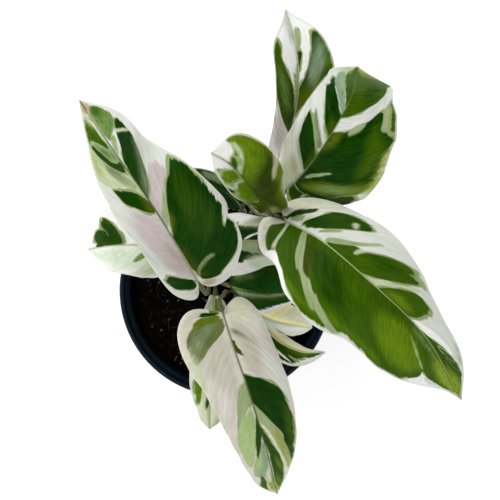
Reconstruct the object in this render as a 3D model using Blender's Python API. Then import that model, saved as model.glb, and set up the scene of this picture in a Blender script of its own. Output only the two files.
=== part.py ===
"""A calathea White Fusion in its nursery pot: thirteen leaves on their stalks, soil and pot.

Run with: blender --background --python part.py
Blender units are metres and +Z is up. The pot stands on z = 0, centred on the Z axis.
Sizes in the constants and in the leaf list are millimetres; MM turns them into metres.
"""
import math
from dataclasses import dataclass

import bpy
import numpy as np
from mathutils import Vector
from mathutils.geometry import delaunay_2d_cdt

MM = 0.001
CLEARANCE = 0.3              # gap between pieces that rest on each other

# Pot: a thin plastic nursery pot, widest at the rim band.
POT_HEIGHT = 100.0
POT_TOP_RADIUS = 60.0
POT_BASE_RADIUS = 44.0
POT_WALL = 1.4
POT_FLOOR = 1.8
RIM_BAND_HEIGHT = 13.0
RIM_BAND_STEP = 2.6          # how far the band stands out from the wall below it
RIM_LIP_WIDTH = 2.6          # flat rolled edge on top
RIM_LIP_DEPTH = 2.4
POT_SEGMENTS = 60
DRAIN_HOLES = 8
DRAIN_HOLE_RADIUS = 4.5
DRAIN_CIRCLE_RADIUS = 30.0
DRAIN_HOLE_SIDES = 12

# Soil: fills the pot to a little under the rim.
SOIL_LEVEL = 87.0
SOIL_RELIEF = 1.6            # height of the lumps
SOIL_EDGE_DROP = 4.0         # the soil slopes down to the wall
SOIL_RINGS = 7
CROWN_RADIUS = 17.0          # around the stalks the sockets alone shape the top
SOCKET_DEPTH = 8.0           # depth of the holes that the stalks stand in
SOCKET_SIDES = 8
SOCKET_SLACK = 0.45          # socket radius over the stalk's

# Blades: a thin shell with a rib under its middle.
BLADE_THICKNESS = 0.7
RIB_DEPTH = 1.3              # extra thickness under the midrib at the blade's base
COLUMNS = (0.0, 0.09, 0.35, 0.62, 0.84, 1.0)    # from midrib to margin
WIDTH_STATIONS = (0.0, 0.04, 0.13, 0.28, 0.46, 0.64, 0.82, 0.94, 1.0)
MARGIN_SWEEP = 1.25          # where the side veins reach the margin
MIDRIB_SWEEP = 2.7           # where they leave the midrib
VEIN_BOW = 0.6               # how much a side vein bends forward towards the margin
LOBE_SPAN = 0.3              # share of the vein fan that curls back beside the stalk

# Stalks
STALK_SIDES = 6
STALK_STATIONS = 11
STALK_FOOT_SWELL = 1.35      # the sheathed foot against the slim upper stalk


@dataclass
class Leaf:
    """One leaf. Sides are named as seen from its base looking to its tip, with the face up."""
    name: str
    midrib: tuple            # points from base to tip
    left: tuple              # half widths at the inner WIDTH_STATIONS
    right: tuple
    lobes: tuple             # how far the left and right margin curl back past the base
    roll: tuple              # degrees at base and tip, right side down
    fold: tuple              # degrees that each side rises from the midrib
    curl: tuple              # degrees that each side bends down towards its margin
    wave: tuple              # margin wave: height, count along the blade, phase
    foot: tuple              # where the stalk enters the soil
    way: tuple               # points that the stalk passes on its way up
    reach: float             # how far back along the midrib's line the stalk turns in
    stalk_radius: float
    rows: int                # facets along the blade
    color: tuple


LEAVES = (
    Leaf(name="west",
         midrib=((-10, 8, 202), (-18, 24, 220), (-29, 43, 232), (-44, 64, 230), (-63, 90, 212)),
         left=(4, 14, 16, 17, 14, 8, 3), right=(8, 22, 28, 24, 17, 12, 4), lobes=(20, 13),
         roll=(-14, -8), fold=(16, 10), curl=(36, 26), wave=(1.8, 2, 0.1),
         foot=(-7, 4), way=((-8, 5, 130), (-7, 2, 178)), reach=8, stalk_radius=1.5, rows=16,
         color=(0.30, 0.36, 0.24)),
    Leaf(name="east",
         midrib=((30, 36, 203), (45, 27, 219), (66, 9, 224), (90, -13, 210), (116, -50, 178)),
         left=(4, 14, 22, 19, 12, 9, 4), right=(4, 20, 30, 28, 25, 16, 3), lobes=(16, 18),
         roll=(4, 4), fold=(14, 10), curl=(32, 26), wave=(2.0, 2, 0.6),
         foot=(3, 7), way=((7, 24, 128), (12, 46, 168), (18, 40, 185)), reach=6,
         stalk_radius=1.6, rows=18,
         color=(0.30, 0.42, 0.20)),
    Leaf(name="south",
         midrib=((1, -7, 190), (6, -21, 202), (13, -42, 199), (20, -68, 180), (28, -104, 142)),
         left=(7, 16, 19, 19, 16, 10, 4), right=(12, 25, 22, 18, 15, 12, 7), lobes=(17, 20),
         roll=(0, 0), fold=(8, 10), curl=(40, 30), wave=(1.2, 1.5, 0.3),
         foot=(1, -1), way=((0, 0, 130), (1, 1, 172)), reach=8, stalk_radius=1.4, rows=16,
         color=(0.55, 0.56, 0.46)),
    Leaf(name="northeast",
         midrib=((31, 51, 188), (39, 59, 214), (47, 70, 234), (55, 84, 234), (62, 105, 207)),
         left=(6, 12, 15, 16, 16, 13, 9), right=(4, 12, 26, 28, 25, 20, 15), lobes=(2, 12),
         roll=(6, 0), fold=(12, 10), curl=(30, 30), wave=(2.0, 2, 0.4),
         foot=(8, 11), way=((14, 26, 128), (26, 44, 166)), reach=6, stalk_radius=1.5, rows=15,
         color=(0.30, 0.42, 0.20)),
    Leaf(name="north",
         midrib=((29, 70, 160), (34, 83, 186), (36, 97, 200), (35, 115, 203), (30, 134, 199)),
         left=(3, 7, 9, 9, 10, 9, 3), right=(4, 7, 10, 13, 17, 12, 4), lobes=(6, 2),
         roll=(0, 0), fold=(28, 20), curl=(20, 20), wave=(1.0, 1.5, 0.0),
         foot=(3, 13), way=((12, 38, 122),), reach=8, stalk_radius=1.4, rows=13,
         color=(0.42, 0.50, 0.34)),
    Leaf(name="cupped",
         midrib=((23, 40, 200), (17, 46, 222), (12, 52, 234), (5, 59, 242), (-3, 64, 236)),
         left=(2, 3, 5, 6, 9, 8, 3), right=(2, 6, 10, 14, 18, 16, 6), lobes=(2, 5),
         roll=(0, 0), fold=(35, 25), curl=(10, 10), wave=(0.5, 1.5, 0.0),
         foot=(13, 8), way=((20, 30, 128), (21, 47, 174)), reach=6, stalk_radius=1.3, rows=11,
         color=(0.36, 0.40, 0.14)),
    Leaf(name="low_west",
         midrib=((-16, 21, 150), (-27, 23, 165), (-39, 25, 172), (-52, 25, 170), (-68, 23, 156)),
         left=(5, 11, 14, 16, 14, 11, 6), right=(3, 8, 13, 17, 20, 15, 7), lobes=(2, 2),
         roll=(0, 0), fold=(20, 20), curl=(30, 30), wave=(1.0, 1.5, 0.2),
         foot=(-11, 8), way=((-12, 15, 125),), reach=5, stalk_radius=1.3, rows=11,
         color=(0.55, 0.58, 0.48)),
    Leaf(name="inner_east",
         midrib=((-6, 25, 160), (6, 27, 172), (20, 27, 178), (33, 24, 176), (47, 20, 166)),
         left=(5, 11, 14, 12, 10, 6, 3), right=(7, 15, 17, 15, 10, 6, 3), lobes=(2, 4),
         roll=(0, 0), fold=(18, 14), curl=(30, 30), wave=(1.0, 1.5, 0.5),
         foot=(-3, 9), way=((-7, 20, 132),), reach=5, stalk_radius=1.3, rows=10,
         color=(0.10, 0.20, 0.10)),
    Leaf(name="low_southeast",
         midrib=((3, 4, 140), (12, 2, 151), (22, 1, 155), (33, 2, 153), (44, 5, 145)),
         left=(3, 8, 14, 16, 15, 10, 5), right=(2, 4, 7, 11, 8, 6, 3), lobes=(2, 1),
         roll=(12, 12), fold=(18, 14), curl=(34, 30), wave=(0.8, 1.5, 0.0),
         foot=(6, 3), way=(), reach=4, stalk_radius=1.2, rows=10,
         color=(0.06, 0.16, 0.09)),
    Leaf(name="cream",
         midrib=((12, -6, 124), (20, -12, 134), (28, -15, 137), (38, -17, 135), (47, -19, 127)),
         left=(3, 9, 12, 13, 11, 6, 3), right=(2, 3, 4, 6, 7, 6, 3), lobes=(2, 1),
         roll=(24, 24), fold=(14, 14), curl=(40, 30), wave=(0.5, 1, 0.0),
         foot=(11, -1), way=(), reach=4, stalk_radius=1.1, rows=9,
         color=(0.66, 0.66, 0.40)),
    Leaf(name="pointed",
         midrib=((16, -11, 108), (23, -21, 119), (30, -27, 124), (41, -32, 124), (55, -33, 116)),
         left=(2, 3, 4, 5, 4, 2, 1), right=(2, 3, 5, 8, 9, 5, 2), lobes=(0, 0),
         roll=(0, 0), fold=(22, 18), curl=(16, 10), wave=(0.5, 1, 0.0),
         foot=(8, -7), way=(), reach=4, stalk_radius=1.0, rows=9,
         color=(0.60, 0.62, 0.44)),
    Leaf(name="low_south",
         midrib=((-5, -2, 134), (-5, -14, 147), (-5, -33, 149), (-7, -53, 140), (-8, -74, 123)),
         left=(2, 6, 10, 12, 11, 8, 5), right=(2, 4, 10, 12, 11, 7, 4), lobes=(3, 3),
         roll=(0, 0), fold=(16, 12), curl=(34, 30), wave=(0.8, 1.5, 0.2),
         foot=(-5, -3), way=(), reach=4, stalk_radius=1.2, rows=10,
         color=(0.50, 0.60, 0.36)),
    Leaf(name="low_northwest",
         midrib=((10, 44, 146), (4, 50, 160), (-4, 54, 167), (-13, 57, 168), (-22, 59, 162)),
         left=(2, 4, 7, 8, 8, 6, 3), right=(2, 4, 6, 8, 7, 6, 4), lobes=(1, 1),
         roll=(0, 0), fold=(18, 14), curl=(28, 26), wave=(0.6, 1, 0.3),
         foot=(-3, 14), way=((6, 32, 122),), reach=4, stalk_radius=1.1, rows=9,
         color=(0.10, 0.18, 0.10)),
)


# Curves and blade form, in millimetres

def through(knots, values, at):
    """A smooth curve through the values at the knots, read at the places asked for."""
    knots = np.asarray(knots, float)
    values = np.asarray(values, float)
    values = values.reshape(len(knots), -1)
    at = np.asarray(at, float)
    slopes = np.gradient(values, knots, axis=0)
    i = np.clip(np.searchsorted(knots, at) - 1, 0, len(knots) - 2)
    h = (knots[i + 1] - knots[i])[..., None]
    s = (at - knots[i])[..., None] / h
    return (values[i] * (1 + 2 * s) * (1 - s) ** 2 + values[i + 1] * s * s * (3 - 2 * s)
            + slopes[i] * h * s * (1 - s) ** 2 - slopes[i + 1] * h * s * s * (1 - s))


def polyline(points, samples=400):
    """A dense smooth line through a few points, with the run of length along it."""
    points = np.array(points, float)
    chord = np.r_[0, np.cumsum(np.linalg.norm(np.diff(points, axis=0), axis=1))]
    line = through(chord, points, np.linspace(0, chord[-1], samples))
    run = np.r_[0, np.cumsum(np.linalg.norm(np.diff(line, axis=0), axis=1))]
    return line, run


class Midrib:
    """The blade's middle line, read by length and carried on straight past both ends."""

    def __init__(self, points):
        self.line, self.run = polyline(points)
        self.length = self.run[-1]
        tangents = np.gradient(self.line, self.run, axis=0)
        self.tangents = tangents / np.linalg.norm(tangents, axis=1)[:, None]

    def frame(self, x):
        """Point, forward, rightward and upward direction at length x."""
        inside = np.clip(x, 0, self.length)
        point = np.stack([np.interp(inside, self.run, self.line[:, k]) for k in range(3)], -1)
        forward = np.stack([np.interp(inside, self.run, self.tangents[:, k]) for k in range(3)], -1)
        forward /= np.linalg.norm(forward, axis=-1, keepdims=True)
        point = point + forward * (x - inside)[..., None]
        rightward = np.cross(forward, (0.0, 0.0, 1.0))
        rightward /= np.linalg.norm(rightward, axis=-1, keepdims=True)
        return point, forward, rightward, np.cross(rightward, forward)


def half_blade(leaf, midrib, side, u, t):
    """Points of one side (+1 right, -1 left): u runs from base to tip vein, t along the vein."""
    right = side > 0
    knots = np.array(WIDTH_STATIONS) ** (1 / MARGIN_SWEEP)
    half_width = through(knots, (0, *(leaf.right if right else leaf.left), 0), u)[..., 0]
    back = leaf.lobes[1 if right else 0] * np.sin(np.pi * np.clip(u / LOBE_SPAN, 0, 1))
    at_margin = midrib.length * u ** MARGIN_SWEEP - back
    at_midrib = midrib.length * u ** MIDRIB_SWEEP
    x = at_midrib + (at_margin - at_midrib) * ((1 - VEIN_BOW) * t + VEIN_BOW * t * t)
    point, _, rightward, upward = midrib.frame(x)
    along = np.clip(x / midrib.length, 0, 1)
    roll, fold, curl = (a + (b - a) * along for a, b in (leaf.roll, leaf.fold, leaf.curl))
    start = np.radians(fold - side * roll)
    bend = np.radians(-curl)
    across = half_width / bend * (np.sin(start + bend * t) - np.sin(start))
    rise = -half_width / bend * (np.cos(start + bend * t) - np.cos(start))
    height, count, phase = leaf.wave
    turn = count * along + phase + (0.25 if right else 0)
    rise = rise + height * t * t * np.sin(2 * np.pi * turn) * np.sqrt(np.sin(np.pi * along))
    return point + side * rightward * across[..., None] + upward * rise[..., None]


def blade_surface(leaf, midrib):
    """A grid of points from base to tip and from left margin to right margin."""
    u = np.linspace(0, 1, leaf.rows + 1)[:, None]
    t = np.array(COLUMNS)[None, :]
    u, t = np.broadcast_arrays(u, t)
    left = half_blade(leaf, midrib, -1, u, t)
    right = half_blade(leaf, midrib, 1, u, t)
    return np.concatenate([left[:, :0:-1], right], axis=1)


def surface_normals(grid):
    """Upward unit normals of a grid of points; the two end rows, shrunk to points, copy rows."""
    along = np.gradient(grid, axis=0)
    across = np.gradient(grid, axis=1)
    normals = np.cross(across, along)
    normals[0] = normals[1, len(COLUMNS) - 1]
    normals[-1] = normals[-2, len(COLUMNS) - 1]
    return normals / np.linalg.norm(normals, axis=-1, keepdims=True)


def blade_body(leaf):
    """Vertices and triangles of the closed blade: upper face, lower face and margin."""
    midrib = Midrib(leaf.midrib)
    upper = blade_surface(leaf, midrib)
    rows, columns = upper.shape[:2]
    middle = columns // 2
    depth = np.full((rows, columns), BLADE_THICKNESS)
    depth[:, middle] += RIB_DEPTH * np.linspace(1, 0.15, rows)
    lower = upper - surface_normals(upper) * depth[..., None]
    points = []
    index = {}
    for face, grid in (("upper", upper), ("lower", lower)):
        for row in range(rows):
            ends = row in (0, rows - 1)
            for column in range(columns):
                if ends and column:
                    index[face, row, column] = index[face, row, 0]
                    continue
                index[face, row, column] = len(points)
                points.append(grid[row, middle if ends else column])
    triangles = []
    for row in range(rows - 1):
        for column in range(columns - 1):
            corners = ((row, column), (row + 1, column), (row + 1, column + 1), (row, column + 1))
            if (row + column) % 2:
                corners = corners[1:] + corners[:1]
            for a, b, c in ((0, 1, 2), (0, 2, 3)):
                top = [index["upper", *corners[k]] for k in (c, b, a)]
                bottom = [index["lower", *corners[k]] for k in (a, b, c)]
                triangles += [face for face in (top, bottom) if len(set(face)) == 3]
    inner = range(1, rows - 1)
    loop = [(0, 0)] + [(row, columns - 1) for row in inner] + [(rows - 1, 0)]
    loop += [(row, 0) for row in reversed(inner)]
    for here, there in zip(loop, loop[1:] + loop[:1]):
        a, b = index["upper", *here], index["upper", *there]
        c, d = index["lower", *there], index["lower", *here]
        triangles += [[a, c, b], [a, d, c]]
    return points, triangles


def stalk_body(leaf):
    """Vertices and faces of the stalk, from its socket in the soil to under the blade's base."""
    base, forward, _, upward = (v[0] for v in Midrib(leaf.midrib).frame(np.array([0.0])))
    drop = BLADE_THICKNESS + RIB_DEPTH + CLEARANCE + leaf.stalk_radius
    end = base - upward * drop
    turn = end - forward * leaf.reach
    foot = [(*leaf.foot, height) for height in
            (SOIL_LEVEL - SOCKET_DEPTH + CLEARANCE, SOIL_LEVEL - 2, SOIL_LEVEL + 3)]
    line, run = polyline([*foot, *leaf.way, turn, end])
    tangents = np.gradient(line, run, axis=0)
    stations = np.linspace(0, 1, STALK_STATIONS)
    points = []
    for share in stations:
        at = share * run[-1]
        centre = np.array([np.interp(at, run, line[:, k]) for k in range(3)])
        direction = np.array([np.interp(at, run, tangents[:, k]) for k in range(3)])
        side = np.cross(direction, (1.0, 0.0, 0.0))
        side /= np.linalg.norm(side)
        out = np.cross(side, direction) / np.linalg.norm(direction)
        radius = leaf.stalk_radius * (1 + (STALK_FOOT_SWELL - 1) * (1 - share) ** 2)
        for k in range(STALK_SIDES):
            angle = 2 * math.pi * k / STALK_SIDES
            points.append(centre + radius * (math.cos(angle) * side + math.sin(angle) * out))
    faces = [list(range(STALK_SIDES))]
    for ring in range(STALK_STATIONS - 1):
        for k in range(STALK_SIDES):
            a = ring * STALK_SIDES + k
            b = ring * STALK_SIDES + (k + 1) % STALK_SIDES
            faces += [[a, a + STALK_SIDES, b], [b, a + STALK_SIDES, b + STALK_SIDES]]
    faces.append([len(points) - 1 - k for k in range(STALK_SIDES)])
    return points, faces


# Pot and soil

def circle(radius, sides, centre=(0.0, 0.0), turn=0.0):
    """Points of a circle in the XY plane, anticlockwise."""
    angles = turn + 2 * np.pi * np.arange(sides) / sides
    return np.stack([centre[0] + radius * np.cos(angles), centre[1] + radius * np.sin(angles)], -1)


def sheet(outline, holes, extra=()):
    """Triangles, facing up, of the region inside the outline and outside the holes."""
    loops = [outline, *holes]
    flat = np.concatenate([*loops, np.reshape(extra, (-1, 2))])
    edges = []
    loop_of = np.full(len(flat), -1)
    start = 0
    for number, loop in enumerate(loops):
        edges += [(start + k, start + (k + 1) % len(loop)) for k in range(len(loop))]
        loop_of[start:start + len(loop)] = number
        start += len(loop)
    _, _, faces, _, _, _ = delaunay_2d_cdt([Vector(p) for p in flat], edges, [], 0, 1e-6)
    kept = []
    for face in faces:
        owners = {int(loop_of[k]) for k in face}
        fills_a_hole = len(owners) == 1 and min(owners) > 0
        if not fills_a_hole:
            kept.append(list(face))
    return flat, kept


def band(lower, upper):
    """Triangles between two loops of the same count; they face out where the loops go round +Z."""
    faces = []
    for k in range(len(lower)):
        j = (k + 1) % len(lower)
        faces += [[lower[k], lower[j], upper[k]], [lower[j], upper[j], upper[k]]]
    return faces


def pot_body():
    """The pot: revolved wall and rim band around a floor with drain holes."""
    wall_top = POT_HEIGHT - RIM_BAND_HEIGHT
    band_bottom = POT_TOP_RADIUS - 0.6
    wall_top_radius = band_bottom - RIM_BAND_STEP
    outside = (
        (POT_BASE_RADIUS, 0.0),
        (POT_BASE_RADIUS + 0.8, 1.2),
        (wall_top_radius, wall_top - 0.5),
        (band_bottom, wall_top),
        (POT_TOP_RADIUS - 0.3, POT_HEIGHT - 1.0),
        (POT_TOP_RADIUS - 1.0, POT_HEIGHT),
    )
    inside = (
        (POT_TOP_RADIUS - RIM_LIP_WIDTH, POT_HEIGHT),
        (POT_TOP_RADIUS - RIM_LIP_WIDTH - 0.4, POT_HEIGHT - RIM_LIP_DEPTH),
        (band_bottom - POT_WALL - 0.2, wall_top + 1.4),
        (wall_top_radius - POT_WALL, wall_top - 1.0),
        (POT_BASE_RADIUS - POT_WALL + 0.9, POT_FLOOR),
    )
    holes = [circle(DRAIN_HOLE_RADIUS, DRAIN_HOLE_SIDES, centre)
             for centre in circle(DRAIN_CIRCLE_RADIUS, DRAIN_HOLES, turn=math.pi / DRAIN_HOLES)]
    under, under_faces = sheet(circle(outside[0][0], POT_SEGMENTS), holes)
    over, over_faces = sheet(circle(inside[-1][0], POT_SEGMENTS), holes)
    points = [(x, y, 0.0) for x, y in under]
    faces = [face[::-1] for face in under_faces]
    first_over = len(points)
    points += [(x, y, POT_FLOOR) for x, y in over]
    faces += [[first_over + k for k in face] for face in over_faces]
    for hole in range(DRAIN_HOLES):
        start = POT_SEGMENTS + hole * DRAIN_HOLE_SIDES
        low = list(range(start, start + DRAIN_HOLE_SIDES))
        faces += [face[::-1] for face in band(low, [first_over + k for k in low])]
    loop = list(range(POT_SEGMENTS))
    for radius, height in (*outside[1:], *inside[:-1]):
        ring = list(range(len(points), len(points) + POT_SEGMENTS))
        points += [(x, y, height) for x, y in circle(radius, POT_SEGMENTS)]
        faces += band(loop, ring)
        loop = ring
    faces += band(loop, list(range(first_over, first_over + POT_SEGMENTS)))
    return points, faces


def soil_height(x, y):
    """Height of the lumpy soil at a place."""
    lumps = (np.sin(0.23 * x + 1.1) * np.cos(0.27 * y) + 0.5 * np.sin(0.55 * x - 0.4 * y)
             + 0.35 * np.cos(0.9 * y + 0.6 * x))
    return SOIL_LEVEL + 0.5 * SOIL_RELIEF * lumps


def soil_body():
    """The soil: a lumpy top with a socket for each stalk, and plain sides and underside."""
    slope = (POT_TOP_RADIUS - 0.6 - RIM_BAND_STEP - POT_BASE_RADIUS - 0.8) / (POT_HEIGHT - RIM_BAND_HEIGHT)
    bottom_radius = POT_BASE_RADIUS - POT_WALL - CLEARANCE + 0.4
    bottom = POT_FLOOR + CLEARANCE
    top_radius = bottom_radius + slope * (SOIL_LEVEL - SOIL_EDGE_DROP - bottom)
    sockets = [circle(leaf.stalk_radius * STALK_FOOT_SWELL + SOCKET_SLACK, SOCKET_SIDES, leaf.foot)
               for leaf in LEAVES]
    crown = np.mean([leaf.foot for leaf in LEAVES], axis=0)
    extra = [(0.0, 0.0)]
    for ring in range(1, SOIL_RINGS):
        extra += list(circle(top_radius * ring / SOIL_RINGS, 6 * ring, turn=0.3 * ring))
    extra = [p for p in extra if np.linalg.norm(np.array(p) - crown) > CROWN_RADIUS]
    flat, top = sheet(circle(top_radius, POT_SEGMENTS), sockets, extra)
    heights = soil_height(flat[:, 0], flat[:, 1])
    heights[:POT_SEGMENTS] = SOIL_LEVEL - SOIL_EDGE_DROP
    points = [(x, y, z) for (x, y), z in zip(flat, heights)]
    faces = [list(face) for face in top]
    first = POT_SEGMENTS
    for socket in sockets:
        upper = list(range(first, first + SOCKET_SIDES))
        lower = list(range(len(points), len(points) + SOCKET_SIDES))
        points += [(x, y, SOIL_LEVEL - SOCKET_DEPTH) for x, y in socket]
        faces += [face[::-1] for face in band(lower, upper)]
        faces.append(lower)
        first += SOCKET_SIDES
    base = list(range(len(points), len(points) + POT_SEGMENTS))
    points += [(x, y, bottom) for x, y in circle(bottom_radius, POT_SEGMENTS)]
    faces += band(base, list(range(POT_SEGMENTS)))
    faces.append(base[::-1])
    return points, faces


# Blender objects

def material(name, color, roughness, metallic=0.0):
    """A Principled material, also shown in that colour in the viewport."""
    made = bpy.data.materials.new(name)
    made.use_nodes = True
    shader = made.node_tree.nodes["Principled BSDF"]
    shader.inputs["Base Color"].default_value = (*color, 1.0)
    shader.inputs["Roughness"].default_value = roughness
    shader.inputs["Metallic"].default_value = metallic
    made.diffuse_color = (*color, 1.0)
    return made


def add_body(name, body, finish):
    """A mesh object in metres from points in millimetres."""
    points, faces = body
    mesh = bpy.data.meshes.new(name)
    mesh.from_pydata([Vector(p) * MM for p in points], [], faces)
    mesh.materials.append(finish)
    thing = bpy.data.objects.new(name, mesh)
    bpy.context.scene.collection.objects.link(thing)
    return thing


def clear_scene():
    """Remove the objects that Blender starts with."""
    for thing in list(bpy.data.objects):
        bpy.data.objects.remove(thing, do_unlink=True)


def main():
    """Build the pot, the soil and each leaf with its stalk."""
    clear_scene()
    add_body("pot", pot_body(), material("pot plastic", (0.025, 0.045, 0.065), 0.45))
    add_body("soil", soil_body(), material("soil", (0.03, 0.022, 0.016), 0.95))
    for leaf in LEAVES:
        finish = material("blade " + leaf.name, leaf.color, 0.4)
        add_body("blade_" + leaf.name, blade_body(leaf), finish)
        finish = material("stalk " + leaf.name, (0.30, 0.22, 0.14), 0.5)
        add_body("petiole_" + leaf.name, stalk_body(leaf), finish)


main()
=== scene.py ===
"""A variegated prayer plant in its nursery pot, finished for rendering.

Laid out as an add-on and run as a script: main() registers it and calls its operators in order.
The leaf list and the form functions are in millimetres; MM turns them into metres.
"""
import math
from dataclasses import dataclass

import bpy
import numpy as np
from bpy.props import FloatProperty, FloatVectorProperty, IntProperty, PointerProperty
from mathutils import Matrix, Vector, noise
from mathutils.geometry import delaunay_2d_cdt


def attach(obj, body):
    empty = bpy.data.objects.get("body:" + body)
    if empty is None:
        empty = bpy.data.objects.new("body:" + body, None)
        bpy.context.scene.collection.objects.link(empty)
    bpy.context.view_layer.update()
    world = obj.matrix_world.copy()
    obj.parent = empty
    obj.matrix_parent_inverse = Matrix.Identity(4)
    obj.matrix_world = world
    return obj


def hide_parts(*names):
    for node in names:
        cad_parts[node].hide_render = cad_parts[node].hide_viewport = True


bl_info = {
    "name": "Potted Prayer Plant",
    "version": (1, 0, 0),
    "blender": (4, 5, 0),
    "location": "3D View > Sidebar > Plant",
    "description": "Builds a variegated prayer plant with its stalks, soil and nursery pot",
    "category": "Add Mesh",
}

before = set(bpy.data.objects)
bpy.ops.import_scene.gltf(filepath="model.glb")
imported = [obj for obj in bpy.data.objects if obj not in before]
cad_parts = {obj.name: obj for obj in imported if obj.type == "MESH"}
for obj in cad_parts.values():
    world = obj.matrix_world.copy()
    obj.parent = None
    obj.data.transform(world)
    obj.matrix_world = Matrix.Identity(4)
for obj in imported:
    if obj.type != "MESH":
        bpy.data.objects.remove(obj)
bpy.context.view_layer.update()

MM = 0.001
LEFT = -1                    # sides as seen from the blade's base, with the face up
RIGHT = 1
SIDES = {"L": LEFT, "R": RIGHT}

# Pot and soil sizes that the settings below don't hold
LIP_WIDTH = 2.6
LIP_DEPTH = 2.4
BAND_STEP = 2.6
BAND_INSET = 0.6             # how much narrower the band is at its foot than at the rim
FOOT_BEVEL = (0.8, 1.2)      # outwards and up
CORNER_EASE = 0.5            # length over which the wall's corners are rounded
FLOOR_THICKNESS = 1.8
POT_SEGMENTS = 192
DRAIN_HOLES = 8
DRAIN_HOLE_RADIUS = 4.5
DRAIN_CIRCLE_RADIUS = 30.0
DRAIN_HOLE_SIDES = 32
SOIL_EDGE_DROP = 4.0
SOIL_RINGS = 70
SOIL_SEGMENTS = 216
SOIL_SLOPE_START = 0.86      # share of the radius where the soil begins to slope down
SOIL_GAP = 0.3               # between the soil and the pot's floor
STREWN_INSET = 9.5           # loose bits lie this far inside the rim
STREWN_FLOOR = 70.0          # and above this height
FEWEST_BITS = 20

# Blade form
WIDTH_STATIONS = (0.0, 0.04, 0.13, 0.28, 0.46, 0.64, 0.82, 0.94, 1.0)
MARGIN_SWEEP = 1.25          # where the side veins reach the margin
MIDRIB_SWEEP = 2.7           # where they leave the midrib
VEIN_BOW = 0.6               # how much a side vein bends forward towards the margin
LOBE_SPAN = 0.3              # share of the vein fan that curls back beside the stalk
COLUMN_CROWDING = 1.3        # columns stand closer beside the midrib
VEIN_SLANT = 0.85            # distance to the margin against the way along the slanting vein
PAST_MIDRIB = -0.06          # patches that touch the midrib or the margin run past it
PAST_MARGIN = 1.12
CORNER_CUTS = 2              # rounds of cutting the corners of a patch's outline
FAR_OUTSIDE = -12.0          # depth on a side that has no patch of a layer
EDGE_WANDER = (0.18, 0.75)   # how far streaks shift a patch's edge, and more where it crosses veins

# Blade relief: counts run from base to tip
PLEAT_COUNT = 21
RIPPLE_COUNT = 8.5           # fine ripples of the margin
RIPPLE_HEIGHT = 0.28
GROOVE_DEPTH = 0.30          # along the midrib, on the face
GROOVE_HALF_WIDTH = 0.8
RIDGE_HALF_WIDTH = 1.1       # along the midrib, on the back
RIDGE_FADE = 0.85            # share of the ridge that is gone at the tip
MARGIN_THINNING = 0.45       # share of the thickness that is lost at the margin
MARGIN_BAND = 1.5            # how far in from the margin the blade is thinner
VEIN_LINES = 42              # fine side veins in the finish of both faces
BLADE_CREASE = math.radians(50)
POT_CREASE = math.radians(40)

# Stalk form
STALK_FOOT_SWELL = 1.35
STALK_ROOTS = (-6.0, -2.0, 3.0)      # heights over the soil that each stalk passes upright
UNDER_RIB = 13.0             # how far the stalk runs on under the midrib
UNDER_RIB_MIDDLE = 6.0
CUSHION_PLACE = 5.0          # the swelling below the blade
CUSHION_LENGTH = 3.4
CUSHION_SWELL = 0.20
STALK_SHAFT = 0.92           # thickness beside the swelling
STALK_END_RADIUS = 0.5

# Stage, in metres
LAMPS = (("key", (-0.60, 0.55, 1.05), 0.9), ("fill_east", (0.95, 0.35, 0.90), 1.1),
         ("fill_south", (0.30, -0.95, 0.90), 1.1), ("fill_west", (-0.90, -0.45, 0.90), 1.1))
LAMP_AIM = Vector((0.0, 0.0, 0.15))
SENSOR_WIDTH = 36.0          # mm
NEAR_CLIP = 0.01


@dataclass
class Leaf:
    """One leaf: its form, close to its solid's, and the coloured patches on its face."""
    name: str
    midrib: tuple            # points from base to tip
    left: tuple              # half widths at the inner WIDTH_STATIONS
    right: tuple
    lobes: tuple             # how far the left and right margin curl back past the base
    roll: tuple              # degrees at base and tip, right side down
    fold: tuple              # degrees that each side rises from the midrib
    curl: tuple              # degrees that each side bends down towards its margin
    wave: tuple              # margin wave: height, count along the blade, phase
    foot: tuple              # where the stalk enters the soil
    way: tuple               # points that the stalk passes on its way up
    reach: float             # how far back along the midrib's line the stalk turns in
    stalk_radius: float
    ground: str              # palette name of the colour under the patches
    vein: tuple              # palette names of the midrib at base and tip, or none
    patches: str             # side, palette name, then the outline's corners: thousandths of the
                             # vein fan and hundredths of the vein; later ones lie on top
    uneven: tuple = ()       # bumps and dips of the margin: side, place, spread and height


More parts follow.
